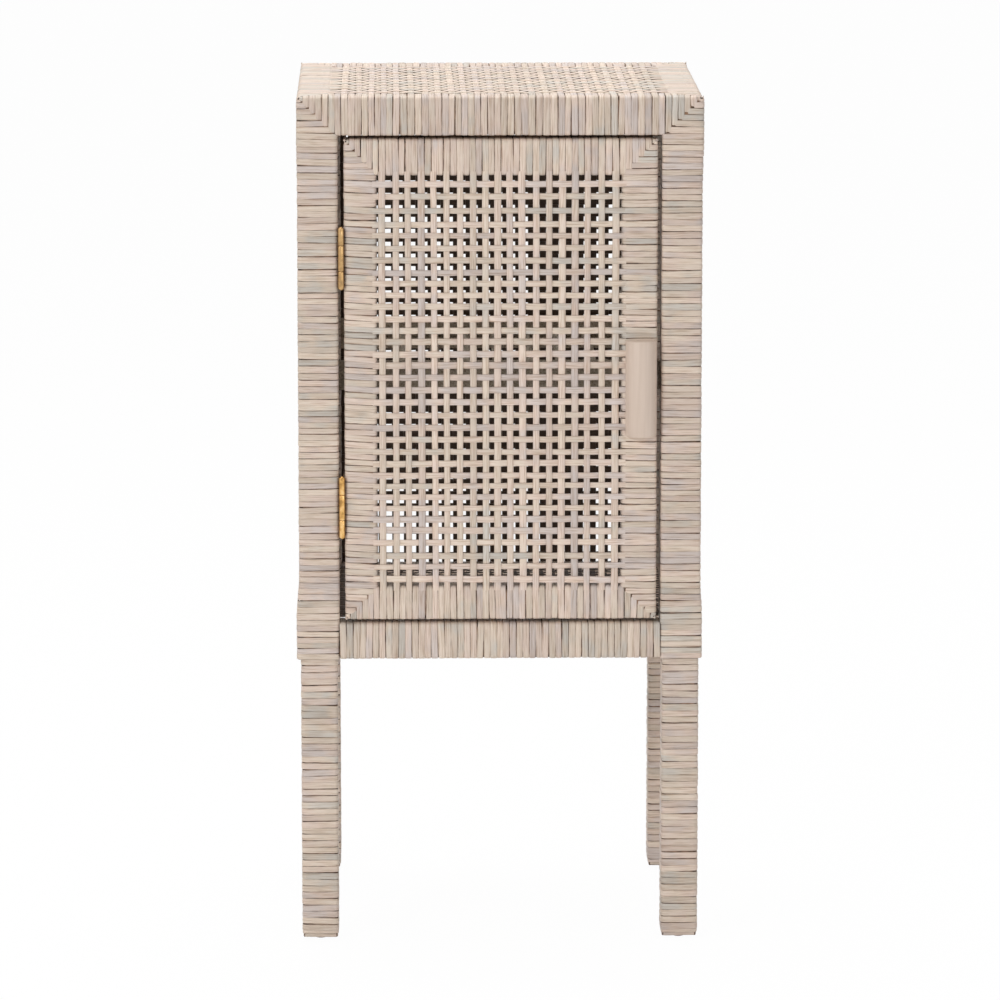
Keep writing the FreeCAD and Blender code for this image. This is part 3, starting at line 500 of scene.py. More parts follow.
def evenly(start, end, wanted=STRIP_WIDTH):
    """Turns of about the wanted width, side by side from start to end: (level, width, None)."""
    count = max(1, round((end - start) / wanted))
    width = (end - start) / count
    return [(start + width * (number + 0.5), width, None) for number in range(count)]


def uneven_places(name, first, last, count, unevenness=0.09):
    """Places by number for count strands and the turns between them, from the first strand
    to the last. They are spaced a little unevenly, as by hand."""
    luck = chance(name, "spacing")
    reach = count - 1
    steps = [1 + luck.gauss(0, unevenness) for _ in range(2 * reach)]
    pitch = (last - first) / sum(steps)
    places, place = {}, first
    for number, step in enumerate(steps + [0], -reach):
        places[number] = place
        place += step * pitch
    return places


def outermost(node, axis):
    """Where the middles of a CAD weave's first and last strand lie along an axis."""
    low, high = [getattr(corner, axis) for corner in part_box(node)]
    return low + STRIP_WIDTH / 2, high - STRIP_WIDTH / 2


def turns_at(places, start, end):
    """A turn at each numbered place, as wide as its neighbours leave room for, and even
    turns in what is left to start and end."""
    levels = [places[number] for number in sorted(places)]
    bounds = [(low + high) / 2 for low, high in zip(levels, levels[1:])]
    bounds = [levels[0] * 2 - bounds[0], *bounds, levels[-1] * 2 - bounds[-1]]
    stepped = [((low + high) / 2, high - low, number)
               for low, high, number in zip(bounds, bounds[1:], sorted(places))]
    return evenly(start, bounds[0]) + stepped + evenly(bounds[-1], end)


def with_fine_ends(turns):
    """Splits the first and the last turn in two, where the winding closes up."""
    def halves(turn):
        level, width, _ = turn
        return [(level + way * width / 4, width / 2, None) for way in (-1, 1)]

    return halves(turns[0]) + turns[1:-1] + halves(turns[-1])


def wind(name, level_axis, turns, section, family, end_radius, sunk=0.0, ends=(), slant=None,
         material=RATTAN):
    """Winds strip round a member. section gives the range that a turn fills along each axis
    at its level, and near the free ends the turns draw in on a round of end_radius. slant
    gives half the drop of a turn across the member. Turns of one family and number have the
    same tint, as has the strand that one runs on as."""
    least_span, deepest_inset, girths = 20 * MM, 0.46, (0.93, 1.04)
    across_u, across_v, _ = ORDER[level_axis]
    guides = []
    for count, (level, width, number) in enumerate(turns):
        luck = chance(name, count)
        ranges = section(level, width)
        (low_u, high_u), (low_v, high_v) = ranges[across_u], ranges[across_v]
        inset = STRIP_THICKNESS / 2 + sunk + abs(luck.gauss(0, TURN_UNEVENNESS))
        for end in ends:
            short = max(0.0, end_radius - abs(level - end))
            inset += end_radius - math.sqrt(end_radius ** 2 - short ** 2)
        inset = min(inset, deepest_inset * (high_u - low_u), deepest_inset * (high_v - low_v))
        loop = rounded_loop((low_u + inset, low_v + inset), (high_u - inset, high_v - inset))
        lean_u, lean_v = luck.gauss(0, TURN_LEAN), luck.gauss(0, TURN_LEAN)
        drop = slant(level) if slant else 0.0
        path = []
        for u, v in loop:
            share_u = (2 * u - low_u - high_u) / max(high_u - low_u, least_span)
            share_v = (2 * v - low_v - high_v) / max(high_v - low_v, least_span)
            path.append((u, v, level + lean_u * share_u + lean_v * share_v + drop * (1 - share_u)))
        owner = (family, number) if number is not None else (name, count)
        guides.append((path, True, chance(*owner).random(), width / STRIP_WIDTH * luck.uniform(*girths)))
    return bend_strips(name, guides, level_axis, STRIP_WIDTH, STRIP_THICKNESS, TURN_WANDER, material=material,
                       sides=12, flatness=0.6)


def span(outer, inner, reach=1.0):
    """The range from a member's outer face in towards its inner one, no further than reach."""
    far = outer + math.copysign(min(abs(inner - outer), reach), inner - outer)
    return min(outer, far), max(outer, far)


def shrunk(ranges):
    """The block under a winding: x, y and z ranges drawn in to where the packing ends."""
    return [(ranges[axis][0] + PACKING_DEPTH, ranges[axis][1] - PACKING_DEPTH) for axis in "xyz"]


def bump_between(level, low, high, ramp=TIE_IN):
    """0 outside a stretch and 1 inside it, with soft ends."""
    inside = min(level - low, high - level) / ramp + 0.5
    share = min(1.0, max(0.0, inside))
    return share * share * (3 - 2 * share)


SIDE_ROWS = 39
SIDE_ROW_ENDS = outermost("left_weave_crossings", "z")
ROW_PLACES = {side: uneven_places(f"{side} rows", *SIDE_ROW_ENDS, SIDE_ROWS) for side in ("left", "right")}


def wind_post(depth, side):
    """One post, with its leg. The side rails' turns swell it where they are tied in."""
    name = f"{depth}_{side}_post"
    sign = -1 if side == "left" else 1
    core_low, core_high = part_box(name)
    low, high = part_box(f"{name}_binding")
    outer_x, inner_x = sign * HALF_WIDTH, (high.x if sign < 0 else low.x)
    outer_y, inner_y = (FRONT, high.y) if depth == "front" else (BACK, low.y)
    leg = {"x": (core_low.x - LEG_WRAP, core_high.x + LEG_WRAP),
           "y": (core_low.y - LEG_WRAP, core_high.y + LEG_WRAP)}

    def section(level, width):
        if level < CARCASS_BOTTOM:
            return leg
        reach = TOP - level + width / 2
        at_floor = bump_between(level, CARCASS_BOTTOM - TIE_IN, OPENING_BOTTOM + SWELL_ABOVE_FLOOR)
        at_top = bump_between(level, OPENING_TOP - SWELL_UNDER_TOP, TOP + TIE_IN)
        swollen = at_floor * LOWER_SWELLING[side] + at_top * UPPER_SWELLING[side]
        return {"x": span(outer_x + sign * swollen, inner_x, reach), "y": span(outer_y, inner_y, reach)}

    turns = evenly(low.z, CARCASS_BOTTOM, LEG_STRIP_WIDTH)
    turns += turns_at(ROW_PLACES[side], CARCASS_BOTTOM, TOP)
    piece = wind(f"{name}_winding", "z", with_fine_ends(turns), section, f"{side} rows", POST_END_RADIUS,
                 ends=(low.z, TOP))
    leg_block = {**leg, "z": (low.z + FOOT_HOLLOW, CARCASS_BOTTOM + LEG_LAP)}
    trunk_block = {"x": span(outer_x, inner_x), "y": span(outer_y, inner_y), "z": (CARCASS_BOTTOM, TOP)}
    add_packing(piece.data, [shrunk(leg_block), shrunk(trunk_block)])
    seated(piece, "cabinet", "rattan_winding", f"{name}_binding")


for post_depth in ("front", "back"):
    for post_side in ("left", "right"):
        wind_post(post_depth, post_side)

# ------------------------------------------------------------------ winding of the rails
# Eight wooden rails join the posts at the top and at the cabinet's floor. The same strip
# is wound round them; in the open stretches every second turn is a strand of the weave.
RAIL_DEPTH = 29 * MM
RAIL_END_RADIUS = 3.0 * MM
LOWER_TURN_WIDTH = 5.4 * MM
TENON = 4 * MM
RIB_COUNT, CROSS_COUNT = 24, 21
RIB_PLACES = uneven_places("ribs", *outermost("top_weave_ribs", "x"), RIB_COUNT)
CROSS_ENDS = outermost("top_weave_crossings", "y")
CROSS_PLACES = uneven_places("top rows", *CROSS_ENDS, CROSS_COUNT)
INNER_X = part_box("front_right_post_binding")[0].x
INNER_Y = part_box("front_left_post_binding")[1].y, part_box("back_left_post_binding")[0].y
# How far a rail's turns lie inside those of the posts that they meet.
LONG_RAIL_SINK = 0.12 * MM
SIDE_RAIL_SINK = 0.06 * MM


def wind_rail(height, way):
    """One rail. At the top its turns run on to the corners, shortening as they meet those
    of the posts; at the floor they end at the posts."""
    name = f"{height}_{way}_rail"
    at_top = height == "top"
    if way in ("front", "back"):
        run, across, outer = "x", "y", FRONT if way == "front" else BACK
        (low, high), inside = (-HALF_WIDTH, HALF_WIDTH), (-INNER_X, INNER_X)
        places, family, sunk = RIB_PLACES, "ribs", LONG_RAIL_SINK
    else:
        run, across, outer = "y", "x", -HALF_WIDTH if way == "left" else HALF_WIDTH
        (low, high), inside = (FRONT, BACK), INNER_Y
        places, family, sunk = CROSS_PLACES, "top rows", SIDE_RAIL_SINK
    inner = outer + math.copysign(RAIL_DEPTH, -outer)
    heights = (OPENING_TOP, TOP) if at_top else (CARCASS_BOTTOM, OPENING_BOTTOM)

    def section(level, width):
        if not at_top:
            return {across: span(outer, inner), "z": heights}
        reach = min(level - low, high - level) + width / 2
        return {across: span(outer, inner, reach), "z": span(TOP, OPENING_TOP, reach)}

    turns = with_fine_ends(turns_at(places, low, high)) if at_top else evenly(*inside, LOWER_TURN_WIDTH)
    piece = wind(f"{name}_winding", run, turns, section, family, RAIL_END_RADIUS, sunk=sunk,
                 ends=(low, high) if at_top else ())
    block = {run: (inside[0] - TENON, inside[1] + TENON), across: span(outer, inner), "z": heights}
    add_packing(piece.data, [shrunk(block)])
    seated(piece, "cabinet", "rattan_winding", f"{name}_binding")


for rail_height in ("top", "lower"):
    for rail_way in RAIL_WAYS:
        wind_rail(rail_height, rail_way)

# ------------------------------------------------------------------ woven panels
# Top, floor, back and sides are an open plain weave of flat rattan strands, whitewashed
# on the outer face. Each strand goes over one and under the next and is tucked into, or
# runs on as, a turn of the winding at its ends.
WEAVE_STEPS = 4
TUCK = 4 * MM
STRAND_LEVEL = STRIP_THICKNESS
STRAND_THICKNESS = 0.92 * STRIP_THICKNESS
STRAND_WANDER = 0.45 * MM
STRAND_SLOPE = 0.3 * MM
SWING = 0.62 * MM
FLAT_SWING = 0.45 * MM

STRAND = painted("whitewashed woven rattan", lambda tree: whitewashed_rattan(tree, staining=0.3))
# A paler copy of the strand; on the top it is painted light, for the top's lit face and sheen.
PALE_STRAND = painted("paler woven rattan",
                      lambda tree: whitewashed_rattan(tree, staining=0.3, paleness=1.09))


def strand_set(node, run, places, count, ends, family, girth=1.0):
    """One of a panel's two sets of strands. Every second place holds a strand, which runs
    from end to end and is tucked in there. It stands for a CAD node, and shares its tint
    with the turn of the same family and number."""
    strands = {number: places[number] for number in range(1 - count, count, 2)}
    return {"node": node, "run": run, "places": strands, "ends": (ends[0] - TUCK, ends[1] + TUCK),
            "family": family, "girth": girth}


def strand_guides(these, others, lift, plane, outward, swing, first_up):
    """Guides of one set of strands, each over and under the strands of the other set."""
    run, place, family = these["run"], others["run"], these["family"]
    first, last = these["ends"]
    entry, girths = 0.45, (0.88, 1.08)
    outside = [outward if axis == lift else 0.0 for axis in ORDER[place]]
    spots = sorted(others["places"].values())
    guides = []
    for count, (number, spot) in enumerate(sorted(these["places"].items())):
        luck = chance(family, number)
        tint = luck.random()
        slope = luck.gauss(0, STRAND_SLOPE)
        sign = first_up * (-1) ** count
        stations = [(first, 0.0), (first + (spots[0] - first) * entry, 0.0)]
        for start, end in zip(spots, spots[1:]):
            for step in range(WEAVE_STEPS):
                share = step / WEAVE_STEPS
                stations.append((start + (end - start) * share, sign * math.cos(math.pi * share)))
            sign = -sign
        stations += [(spots[-1], sign), (last + (spots[-1] - last) * entry, 0.0), (last, 0.0)]
        path = []
        for along, height in stations:
            slant = slope * (2 * (along - first) / (last - first) - 1)
            spot_of = {run: along, place: spot + slant, lift: plane + outward * swing * height}
            path.append(tuple(spot_of[axis] for axis in ORDER[place]))
        heading = Vector(path[-1]) - Vector(path[0])
        if heading.y * outside[0] - heading.x * outside[1] < 0:
            path.reverse()
        guides.append((path, False, tint, these["girth"] * luck.uniform(*girths)))
    return guides


def weave(lift, plane, outward, first, second, body, swing=SWING, material=STRAND):
    """A woven panel of two sets of strands. It lies at plane along the axis lift."""
    for these, others, first_up in ((first, second, 1), (second, first, -1)):
        guides = strand_guides(these, others, lift, plane, outward, swing, first_up)
        piece = bend_strips(f"{these['node']}_strands", guides, others["run"], STRIP_WIDTH, STRAND_THICKNESS,
                            STRAND_WANDER, material=material, wander_length=38 * MM)
        seated(piece, body, "rattan_strand", these["node"])


UPRIGHT_COUNT = 19
BACK_UPRIGHTS, BACK_ROWS = 25, 38
BACK_UNEVENNESS = 0.03
BACK_REACH = INNER_X - 1.9 * MM
BACK_ROW_ENDS = SIDE_ROW_ENDS[0], SIDE_ROW_ENDS[1] + STRIP_WIDTH / 2
FLOOR_REACH = INNER_X - 1.5 * MM
RAIL_INNER_X = HALF_WIDTH - RAIL_DEPTH
HEIGHT_ENDS = OPENING_BOTTOM, OPENING_TOP
WIDE, WIDEST = 1.1, 1.2

# The top: its strands run on from the turns of the rails.
ribs = strand_set("top_weave_ribs", "y", RIB_PLACES, RIB_COUNT, INNER_Y, "ribs", WIDE)
rows = strand_set("top_weave_crossings", "x", CROSS_PLACES, CROSS_COUNT, (-RAIL_INNER_X, RAIL_INNER_X),
                  "top rows", WIDEST)
# The top's strands take the paler copy: painted light for the lit top face and its sheen.
weave("z", TOP - STRAND_LEVEL, 1, ribs, rows, "cabinet", FLAT_SWING, PALE_STRAND)

# The floor, its washed face down.
rib_places = uneven_places("floor ribs", -FLOOR_REACH, FLOOR_REACH, RIB_COUNT)
row_places = uneven_places("floor rows", *CROSS_ENDS, CROSS_COUNT)
ribs = strand_set("floor_weave_ribs", "y", rib_places, RIB_COUNT, INNER_Y, "floor ribs", WIDE)
rows = strand_set("floor_weave_crossings", "x", row_places, CROSS_COUNT, (-RAIL_INNER_X, RAIL_INNER_X),
                  "floor rows", WIDEST)
weave("z", OPENING_BOTTOM, -1, ribs, rows, "cabinet", FLAT_SWING)

# The sides: their rows run on from the turns of the posts.
for panel_side, panel_sign in (("left", -1), ("right", 1)):
    panel_uprights, panel_rows = f"{panel_side} uprights", f"{panel_side} rows"
    upright_places = uneven_places(panel_uprights, *outermost("left_weave_uprights", "y"), UPRIGHT_COUNT)
    uprights = strand_set(f"{panel_side}_weave_uprights", "z", upright_places, UPRIGHT_COUNT, HEIGHT_ENDS,
                          panel_uprights)
    rows = strand_set(f"{panel_side}_weave_crossings", "y", ROW_PLACES[panel_side], SIDE_ROWS, INNER_Y,
                      panel_rows)
    weave("x", panel_sign * (HALF_WIDTH - STRAND_LEVEL), panel_sign, uprights, rows, "cabinet")

# The back: evener, and with strands of its own.
upright_places = uneven_places("back uprights", -BACK_REACH, BACK_REACH, BACK_UPRIGHTS, BACK_UNEVENNESS)
row_places = uneven_places("back rows", *BACK_ROW_ENDS, BACK_ROWS, BACK_UNEVENNESS)
uprights = strand_set("back_weave_uprights", "z", upright_places, BACK_UPRIGHTS, HEIGHT_ENDS,
                      "back uprights", WIDE)
rows = strand_set("back_weave_crossings", "x", row_places, BACK_ROWS, (-INNER_X, INNER_X),
                  "back rows", WIDEST)
weave("y", BACK - STRAND_LEVEL, 1, uprights, rows, "cabinet")

# ------------------------------------------------------------------ shelf
# A rail of washed pine behind the door and one at the back carry nine peeled rattan rods,
# whose ends lie in a groove along each rail.
ROD_COUNT = 9
ROD_STEPS = 8
ROD_RADIUS = 4.2 * MM
ROD_WANDER = 0.5 * MM


def washed_pine(tree):
    """Pine rubbed with thin grey-white wash: pale, flat, with the grain showing through."""
    colour, lines = grained(tree, "#8f7d68", "#cbbca8", grain_length=1.4 * MM)
    return add_node(tree, "ShaderNodeBsdfPrincipled", {"Base Color": colour, "Roughness": 0.7})


def washed_rod(tree):
    """Peeled rattan rod under the same wash, with long fibres."""
    fibre_length = 25 * MM
    place = add_node(tree, "ShaderNodeAttribute", attribute_name="strip_place")
    along, across, outer = add_node(tree, "ShaderNodeSeparateXYZ", {0: place.outputs["Vector"]}).outputs
    lengthwise = add_node(tree, "ShaderNodeMath", {0: along, 1: 1 / fibre_length}, operation="MULTIPLY")
    spot = add_node(tree, "ShaderNodeCombineXYZ", {0: lengthwise, 1: across, 2: outer})
    fibre = add_node(tree, "ShaderNodeTexNoise", {"Vector": spot, "Scale": 7.0, "Detail": 3.0})
    colour = add_node(tree, "ShaderNodeValToRGB", {"Fac": fibre}, stops=[
        (0.3, "#94816a"), (0.5, "#c2b29d"), (0.7, "#d3c6b4")])
    relief = add_node(tree, "ShaderNodeBump", {"Height": fibre, "Strength": 0.3, "Distance": 0.3 * MM})
    return add_node(tree, "ShaderNodeBsdfPrincipled", {
        "Base Color": colour, "Roughness": 0.6, "Normal": relief})


def lay_rods():
    """Nine rods side by side, from the front rail's groove to the back one's."""
    low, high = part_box("shelf_rods")
    first, last = low.x + ROD_RADIUS, high.x - ROD_RADIUS
    height = (low.z + high.z) / 2
    guides = []
    for number in range(ROD_COUNT):
        luck = chance("rod", number)
        place = first + (last - first) * number / (ROD_COUNT - 1)
        path = [(low.y + (high.y - low.y) * step / ROD_STEPS, height, place) for step in range(ROD_STEPS + 1)]
        guides.append((path, False, luck.random(), luck.uniform(0.94, 1.0)))
    piece = bend_strips("shelf_rods_peeled", guides, "x", ROD_RADIUS * 2, ROD_RADIUS * 2, ROD_WANDER,
                        material=painted("washed rattan rod", washed_rod), wander_length=110 * MM, sides=20,
                        flatness=0.0)
    seated(piece, "cabinet", "shelf_rod", "shelf_rods")


finish(painted("washed pine", washed_pine), "shelf_front_rail", "shelf_back_rail")
lay_rods()

# ------------------------------------------------------------------ door
# Two stiles and two rails of wood, bound like the cabinet, with turns that shorten into
# each corner and meet on the diagonal. Every second turn runs on as a strand of the weave.
DOOR_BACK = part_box("door_left_stile_binding")[1].y
LEFT_STILE, RIGHT_STILE, BOTTOM_RAIL = 27.6 * MM, 30.2 * MM, 29 * MM
stiles_low, stiles_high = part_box("door_left_stile_binding")[0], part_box("door_right_stile_binding")[1]
DOOR = {"x": (stiles_low.x, stiles_high.x), "z": (stiles_low.z, stiles_high.z)}
HOLE = {"x": (DOOR["x"][0] + LEFT_STILE, DOOR["x"][1] - RIGHT_STILE),
        "z": (DOOR["z"][0] + BOTTOM_RAIL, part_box("door_top_rail_binding")[0].z)}
DOOR_END_RADIUS = 4.4 * MM
DOOR_WRAP = 1.6 * MM
BATTEN_EASING = 1 * MM
SHARP_ANGLE = 40
DOOR_UPRIGHTS, DOOR_ROWS = 19, 34
DOOR_ROW_GIRTH = 1.04
# From the hole's edges to the middles of the outermost strands.
LEFT_MARGIN, RIGHT_MARGIN, LOW_MARGIN, HIGH_MARGIN = 4 * MM, 4.8 * MM, 5.4 * MM, 6.6 * MM
UPRIGHT_ENDS = HOLE["x"][0] + LEFT_MARGIN, HOLE["x"][1] - RIGHT_MARGIN
ROW_ENDS = HOLE["z"][0] + LOW_MARGIN, HOLE["z"][1] - HIGH_MARGIN
# Of many random spacings, these two suit the door best.
UPRIGHT_DRAW, ROW_DRAW = 1710, 19
UPRIGHT_UNEVENNESS, ROW_UNEVENNESS = 0.07, 0.11
DOOR_UPRIGHT_PLACES = uneven_places(f"door uprights {UPRIGHT_DRAW}", *UPRIGHT_ENDS, DOOR_UPRIGHTS,
                                    UPRIGHT_UNEVENNESS)
DOOR_ROW_PLACES = uneven_places(f"door rows {ROW_DRAW}", *ROW_ENDS, DOOR_ROWS, ROW_UNEVENNESS)
RAIL_SINK = 0.12 * MM
STILE_SLANT, SLANT_RAMP = 0.75 * MM, 60 * MM
BEAD_WIDTH, BEAD_RISE, BEAD_SETBACK = 6 * MM, 1.2 * MM, 2 * MM

PALE_RATTAN = painted("paler whitewashed rattan", lambda tree: whitewashed_rattan(tree, paleness=1.05))


def keep_shell(name, shell, material):
    """Makes a finished shell an object, smooth except at its sharp edges."""
    mesh = bpy.data.meshes.new(name)
    shell.to_mesh(mesh)
    shell.free()
    mesh.materials.append(material)
    mesh.shade_smooth()
    mesh.set_sharp_from_angle(angle=math.radians(SHARP_ANGLE))
    piece = bpy.data.objects.new(name, mesh)
    scene.collection.objects.link(piece)
    return piece


def plane_batten(name, ranges):
    """One of the door's wooden members, planed to fit its winding, with eased edges."""
    shell = bmesh.new()
    add_block(shell, ranges, BATTEN_EASING)
    seated(keep_shell(f"{name}_planed", shell, PINE), "door", "frame_wood", name)


def wind_member(name, run, across, end, core_run, places, family, sunk=0.0, slant=None, bead=()):
    """A stile or a rail: the lowest (end 0) or highest (end 1) member across the door."""
    outer, inner = DOOR[across][end], HOLE[across][end]
    (low, high), (hole_low, hole_high) = DOOR[run], HOLE[run]

    def section(level, width):
        share = min((level - low) / (hole_low - low), (high - level) / (high - hole_high))
        return {across: span(outer, inner, share * abs(inner - outer) + width / 2), "y": (FRONT, DOOR_BACK)}

    turns = with_fine_ends(turns_at(places, low, high))
    piece = wind(f"{name}_winding", run, turns, section, family, DOOR_END_RADIUS, sunk=sunk, ends=(low, high),
                 slant=slant, material=PALE_RATTAN)
    block = {run: core_run, across: span(outer, inner), "y": (FRONT, DOOR_BACK)}
    add_packing(piece.data, [shrunk(block), *bead])
    seated(piece, "door", "rattan_winding", f"{name}_binding")


def stile_slant(level):
    """The left stile's turns rise towards the hinges, all along the hole."""
    return STILE_SLANT * bump_between(level, *HOLE["z"], ramp=SLANT_RAMP)


stile_low, stile_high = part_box("door_left_stile")
rail_low, rail_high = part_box("door_bottom_rail")
core_y, stile_z = (stile_low.y, stile_high.y), (stile_low.z, stile_high.z)
plane_batten("door_left_stile", ((stile_low.x, HOLE["x"][0] - DOOR_WRAP), core_y, stile_z))
plane_batten("door_right_stile", ((HOLE["x"][1] + DOOR_WRAP, DOOR["x"][1] - DOOR_WRAP), core_y, stile_z))
plane_batten("door_bottom_rail", ((rail_low.x, rail_high.x), core_y, (rail_low.z, HOLE["z"][0] - DOOR_WRAP)))

# A bead of dark brown packing along the rear of the top rail shuts the gap over the door: a dark block
# standing in for the shade in that gap.
bead_back = DOOR_BACK - BEAD_SETBACK
GAP_SHADE_BEAD = ((DOOR["x"][0] + PACKING_DEPTH, DOOR["x"][1] - PACKING_DEPTH), (bead_back - BEAD_WIDTH, bead_back),
            (DOOR["z"][1] - BEAD_WIDTH, DOOR["z"][1] + BEAD_RISE))
rail_core = (HOLE["x"][0] - TENON, HOLE["x"][1] + TENON)
wind_member("door_left_stile", "z", "x", 0, DOOR["z"], DOOR_ROW_PLACES, "door rows", slant=stile_slant)
wind_member("door_right_stile", "z", "x", 1, DOOR["z"], DOOR_ROW_PLACES, "door rows")
wind_member("door_bottom_rail", "x", "z", 0, rail_core, DOOR_UPRIGHT_PLACES, "door uprights", RAIL_SINK)
wind_member("door_top_rail", "x", "z", 1, rail_core, DOOR_UPRIGHT_PLACES, "door uprights", RAIL_SINK,
            bead=[GAP_SHADE_BEAD])

uprights = strand_set("door_weave_uprights", "z", DOOR_UPRIGHT_PLACES, DOOR_UPRIGHTS, HOLE["z"],
                      "door uprights", WIDE)
rows = strand_set("door_weave_crossings", "x", DOOR_ROW_PLACES, DOOR_ROWS, HOLE["x"],
                  "door rows", DOOR_ROW_GIRTH)
weave("y", FRONT + STRIP_THICKNESS / 2, -1, uprights, rows, "door", material=PALE_STRAND)

# ------------------------------------------------------------------ hinges
# Two brass butt hinges hang the door on the left post: pressed leaves with rolled
# knuckles, two on the post's side and one on the door's, about a pin with domed ends.
KNUCKLE_RADIUS = 2.7 * MM
KNUCKLE_RIM = 0.45 * MM
PIN_RADIUS = 1.3 * MM
DOME_HEIGHT = 1.1 * MM
DOME_RISE = 1.0 * MM
END_KNUCKLE = 14.5 * MM
KNUCKLE_GAP = 0.3 * MM
LEAF_SETBACK = 3.5 * MM
LEAF_THICKNESS = 1.2 * MM
LEAF_EASING, NECK_EASING = 0.3 * MM, 0.2 * MM
NECK_LAP = 1 * MM


def middle_of(name):
    """The middle of a CAD piece's box."""
    low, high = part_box(name)
    return (low + high) / 2


def aged_brass(tree):
    """Rolled brass, lacquered long ago: satin gold where it is rubbed, brown in patches, and
    duller on the upper hinge; both sides of the barrel take painted shade and dark reflection."""
    pin_x = middle_of("lower_hinge_pin").x
    dull_from, dull_to = 0.42, 0.56
    blotch = mottled(tree, 5 * MM, 4.0)
    where = add_node(tree, "ShaderNodeTexCoord").outputs["Object"]
    sideways, _, height = add_node(tree, "ShaderNodeSeparateXYZ", {0: where}).outputs
    from_pin = add_node(tree, "ShaderNodeMath", {0: sideways, 1: pin_x}, operation="SUBTRACT")
    aside = add_node(tree, "ShaderNodeMath", {0: from_pin}, operation="ABSOLUTE")
    # Painted shade: dark brown grows towards both sides of the barrel, as seen from the front.
    barrel_side_shade = add_node(tree, "ShaderNodeMapRange", {
        0: aside, 1: PIN_RADIUS, 2: KNUCKLE_RADIUS, 3: 0.0, 4: 0.8})
    duller = add_node(tree, "ShaderNodeMapRange", {0: height, 1: dull_from, 2: dull_to, 3: 0.0, 4: 0.55})
    gold = add_node(tree, "ShaderNodeValToRGB", {"Fac": blotch}, stops=[
        (0.3, "#a37c48"), (0.46, "#dcab66"), (0.6, "#f2c585"), (0.8, "#fbdca6")])
    dulled = add_node(tree, "ShaderNodeMix", {0: duller, 6: gold, 7: linear("#a58c6c")}, data_type="RGBA")
    # Mixes in the painted shade of the barrel's sides.
    colour = add_node(tree, "ShaderNodeMix", {0: barrel_side_shade, 6: dulled, 7: linear("#5f4327")}, data_type="RGBA")
    gloss = add_node(tree, "ShaderNodeMapRange", {0: blotch, 1: 0.3, 2: 0.7, 3: 0.26, 4: 0.14})
    relief = add_node(tree, "ShaderNodeBump", {"Height": blotch, "Strength": 0.12, "Distance": 0.2 * MM})
    return add_node(tree, "ShaderNodeBsdfPrincipled", {
        "Base Color": colour, "Metallic": 1.0, "Roughness": gloss, "Normal": relief})


BRASS = painted("aged brass", aged_brass)


def circle(sides):
    """Angles round a circle, one for each side."""
    return [2 * math.pi * side / sides for side in range(sides)]


def quarter_round(steps):
    """A quarter circle of radius 1 that leaves its foot level: (distance out, rise)."""
    turns = [math.pi / 2 * step / steps for step in range(steps + 1)]
    return [(math.sin(turn), 1 - math.cos(turn)) for turn in turns]


def add_turned(shell, outline, place, angles, ring=False):
    """Adds a shape turned about the upright line through a place. outline is (radius,
    height), up its outside; a ring's outline closes on itself."""
    rows = []
    for radius, height in outline:
        round_points = [(place[0] + radius * math.cos(angle), place[1] + radius * math.sin(angle), height)
                        for angle in (angles if radius else angles[:1])]
        rows.append([shell.verts.new(point) for point in round_points])
    for low, high in zip(rows, rows[1:] + (rows[:1] if ring else [])):
        for side in range(len(angles)):
            after = (side + 1) % len(angles)
            corners = (low[side % len(low)], low[after % len(low)],
                       high[after % len(high)], high[side % len(high)])
            shell.faces.new(dict.fromkeys(corners))
    return rows


def add_knuckle(shell, axis, low, high):
    """A rolled knuckle: a ring with rounded rims about the pin."""
    rim = [(KNUCKLE_RADIUS - KNUCKLE_RIM * (1 - out), KNUCKLE_RIM * rise) for out, rise in quarter_round(4)]
    chamfer = KNUCKLE_RIM / 2
    outline = [(PIN_RADIUS, low + chamfer), (PIN_RADIUS + chamfer, low)]
    outline += [(radius, low + rise) for radius, rise in rim]
    outline += [(radius, high - rise) for radius, rise in reversed(rim)]
    outline += [(PIN_RADIUS + chamfer, high), (PIN_RADIUS, high - chamfer)]
    add_turned(shell, outline, axis, circle(32), ring=True)


def press_leaf(place, side, body):
    """A leaf: its plate, let in flat against the wood, and its own knuckles."""
    name = f"{place}_hinge_{side}_leaf"
    axis = middle_of(f"{place}_hinge_pin")
    low, high = [corner.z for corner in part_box(f"{place}_hinge_pin")]
    face, way = (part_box("front_left_post_binding")[1].x, 1) if side == "frame" else (DOOR["x"][0], -1)
    plate_x = sorted((face, face + way * LEAF_THICKNESS))
    plate_front = axis.y + LEAF_SETBACK
    stretches = [(low, low + END_KNUCKLE), (high - END_KNUCKLE, high)]
    if side == "door":
        stretches = [(low + END_KNUCKLE + KNUCKLE_GAP, high - END_KNUCKLE - KNUCKLE_GAP)]
    shell = bmesh.new()
    add_block(shell, (plate_x, (plate_front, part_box(name)[1].y), (low, high)), LEAF_EASING)
    for start, end in stretches:
        add_block(shell, (plate_x, (axis.y, plate_front + NECK_LAP), (start, end)), NECK_EASING)
        add_knuckle(shell, axis, start, end)
    seated(keep_shell(f"{name}_pressed", shell, BRASS), body, "brass", name)


def turn_pin(place):
    """A hinge pin, domed at both ends, which fills its knuckles."""
    name = f"{place}_hinge_pin"
    low, high = [corner.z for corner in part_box(name)]
    dome = [(PIN_RADIUS * out, DOME_HEIGHT * rise) for out, rise in quarter_round(5)]
    outline = [(radius, low - DOME_RISE + rise) for radius, rise in dome]
    outline += [(radius, high + DOME_RISE - rise) for radius, rise in reversed(dome)]
    shell = bmesh.new()
    add_turned(shell, outline, middle_of(name), circle(24))
    seated(keep_shell(f"{name}_turned", shell, BRASS), "cabinet", "brass", name)


for hinge_place in ("upper", "lower"):
    press_leaf(hinge_place, "frame", "cabinet")
    press_leaf(hinge_place, "door", "door")
    turn_pin(hinge_place)

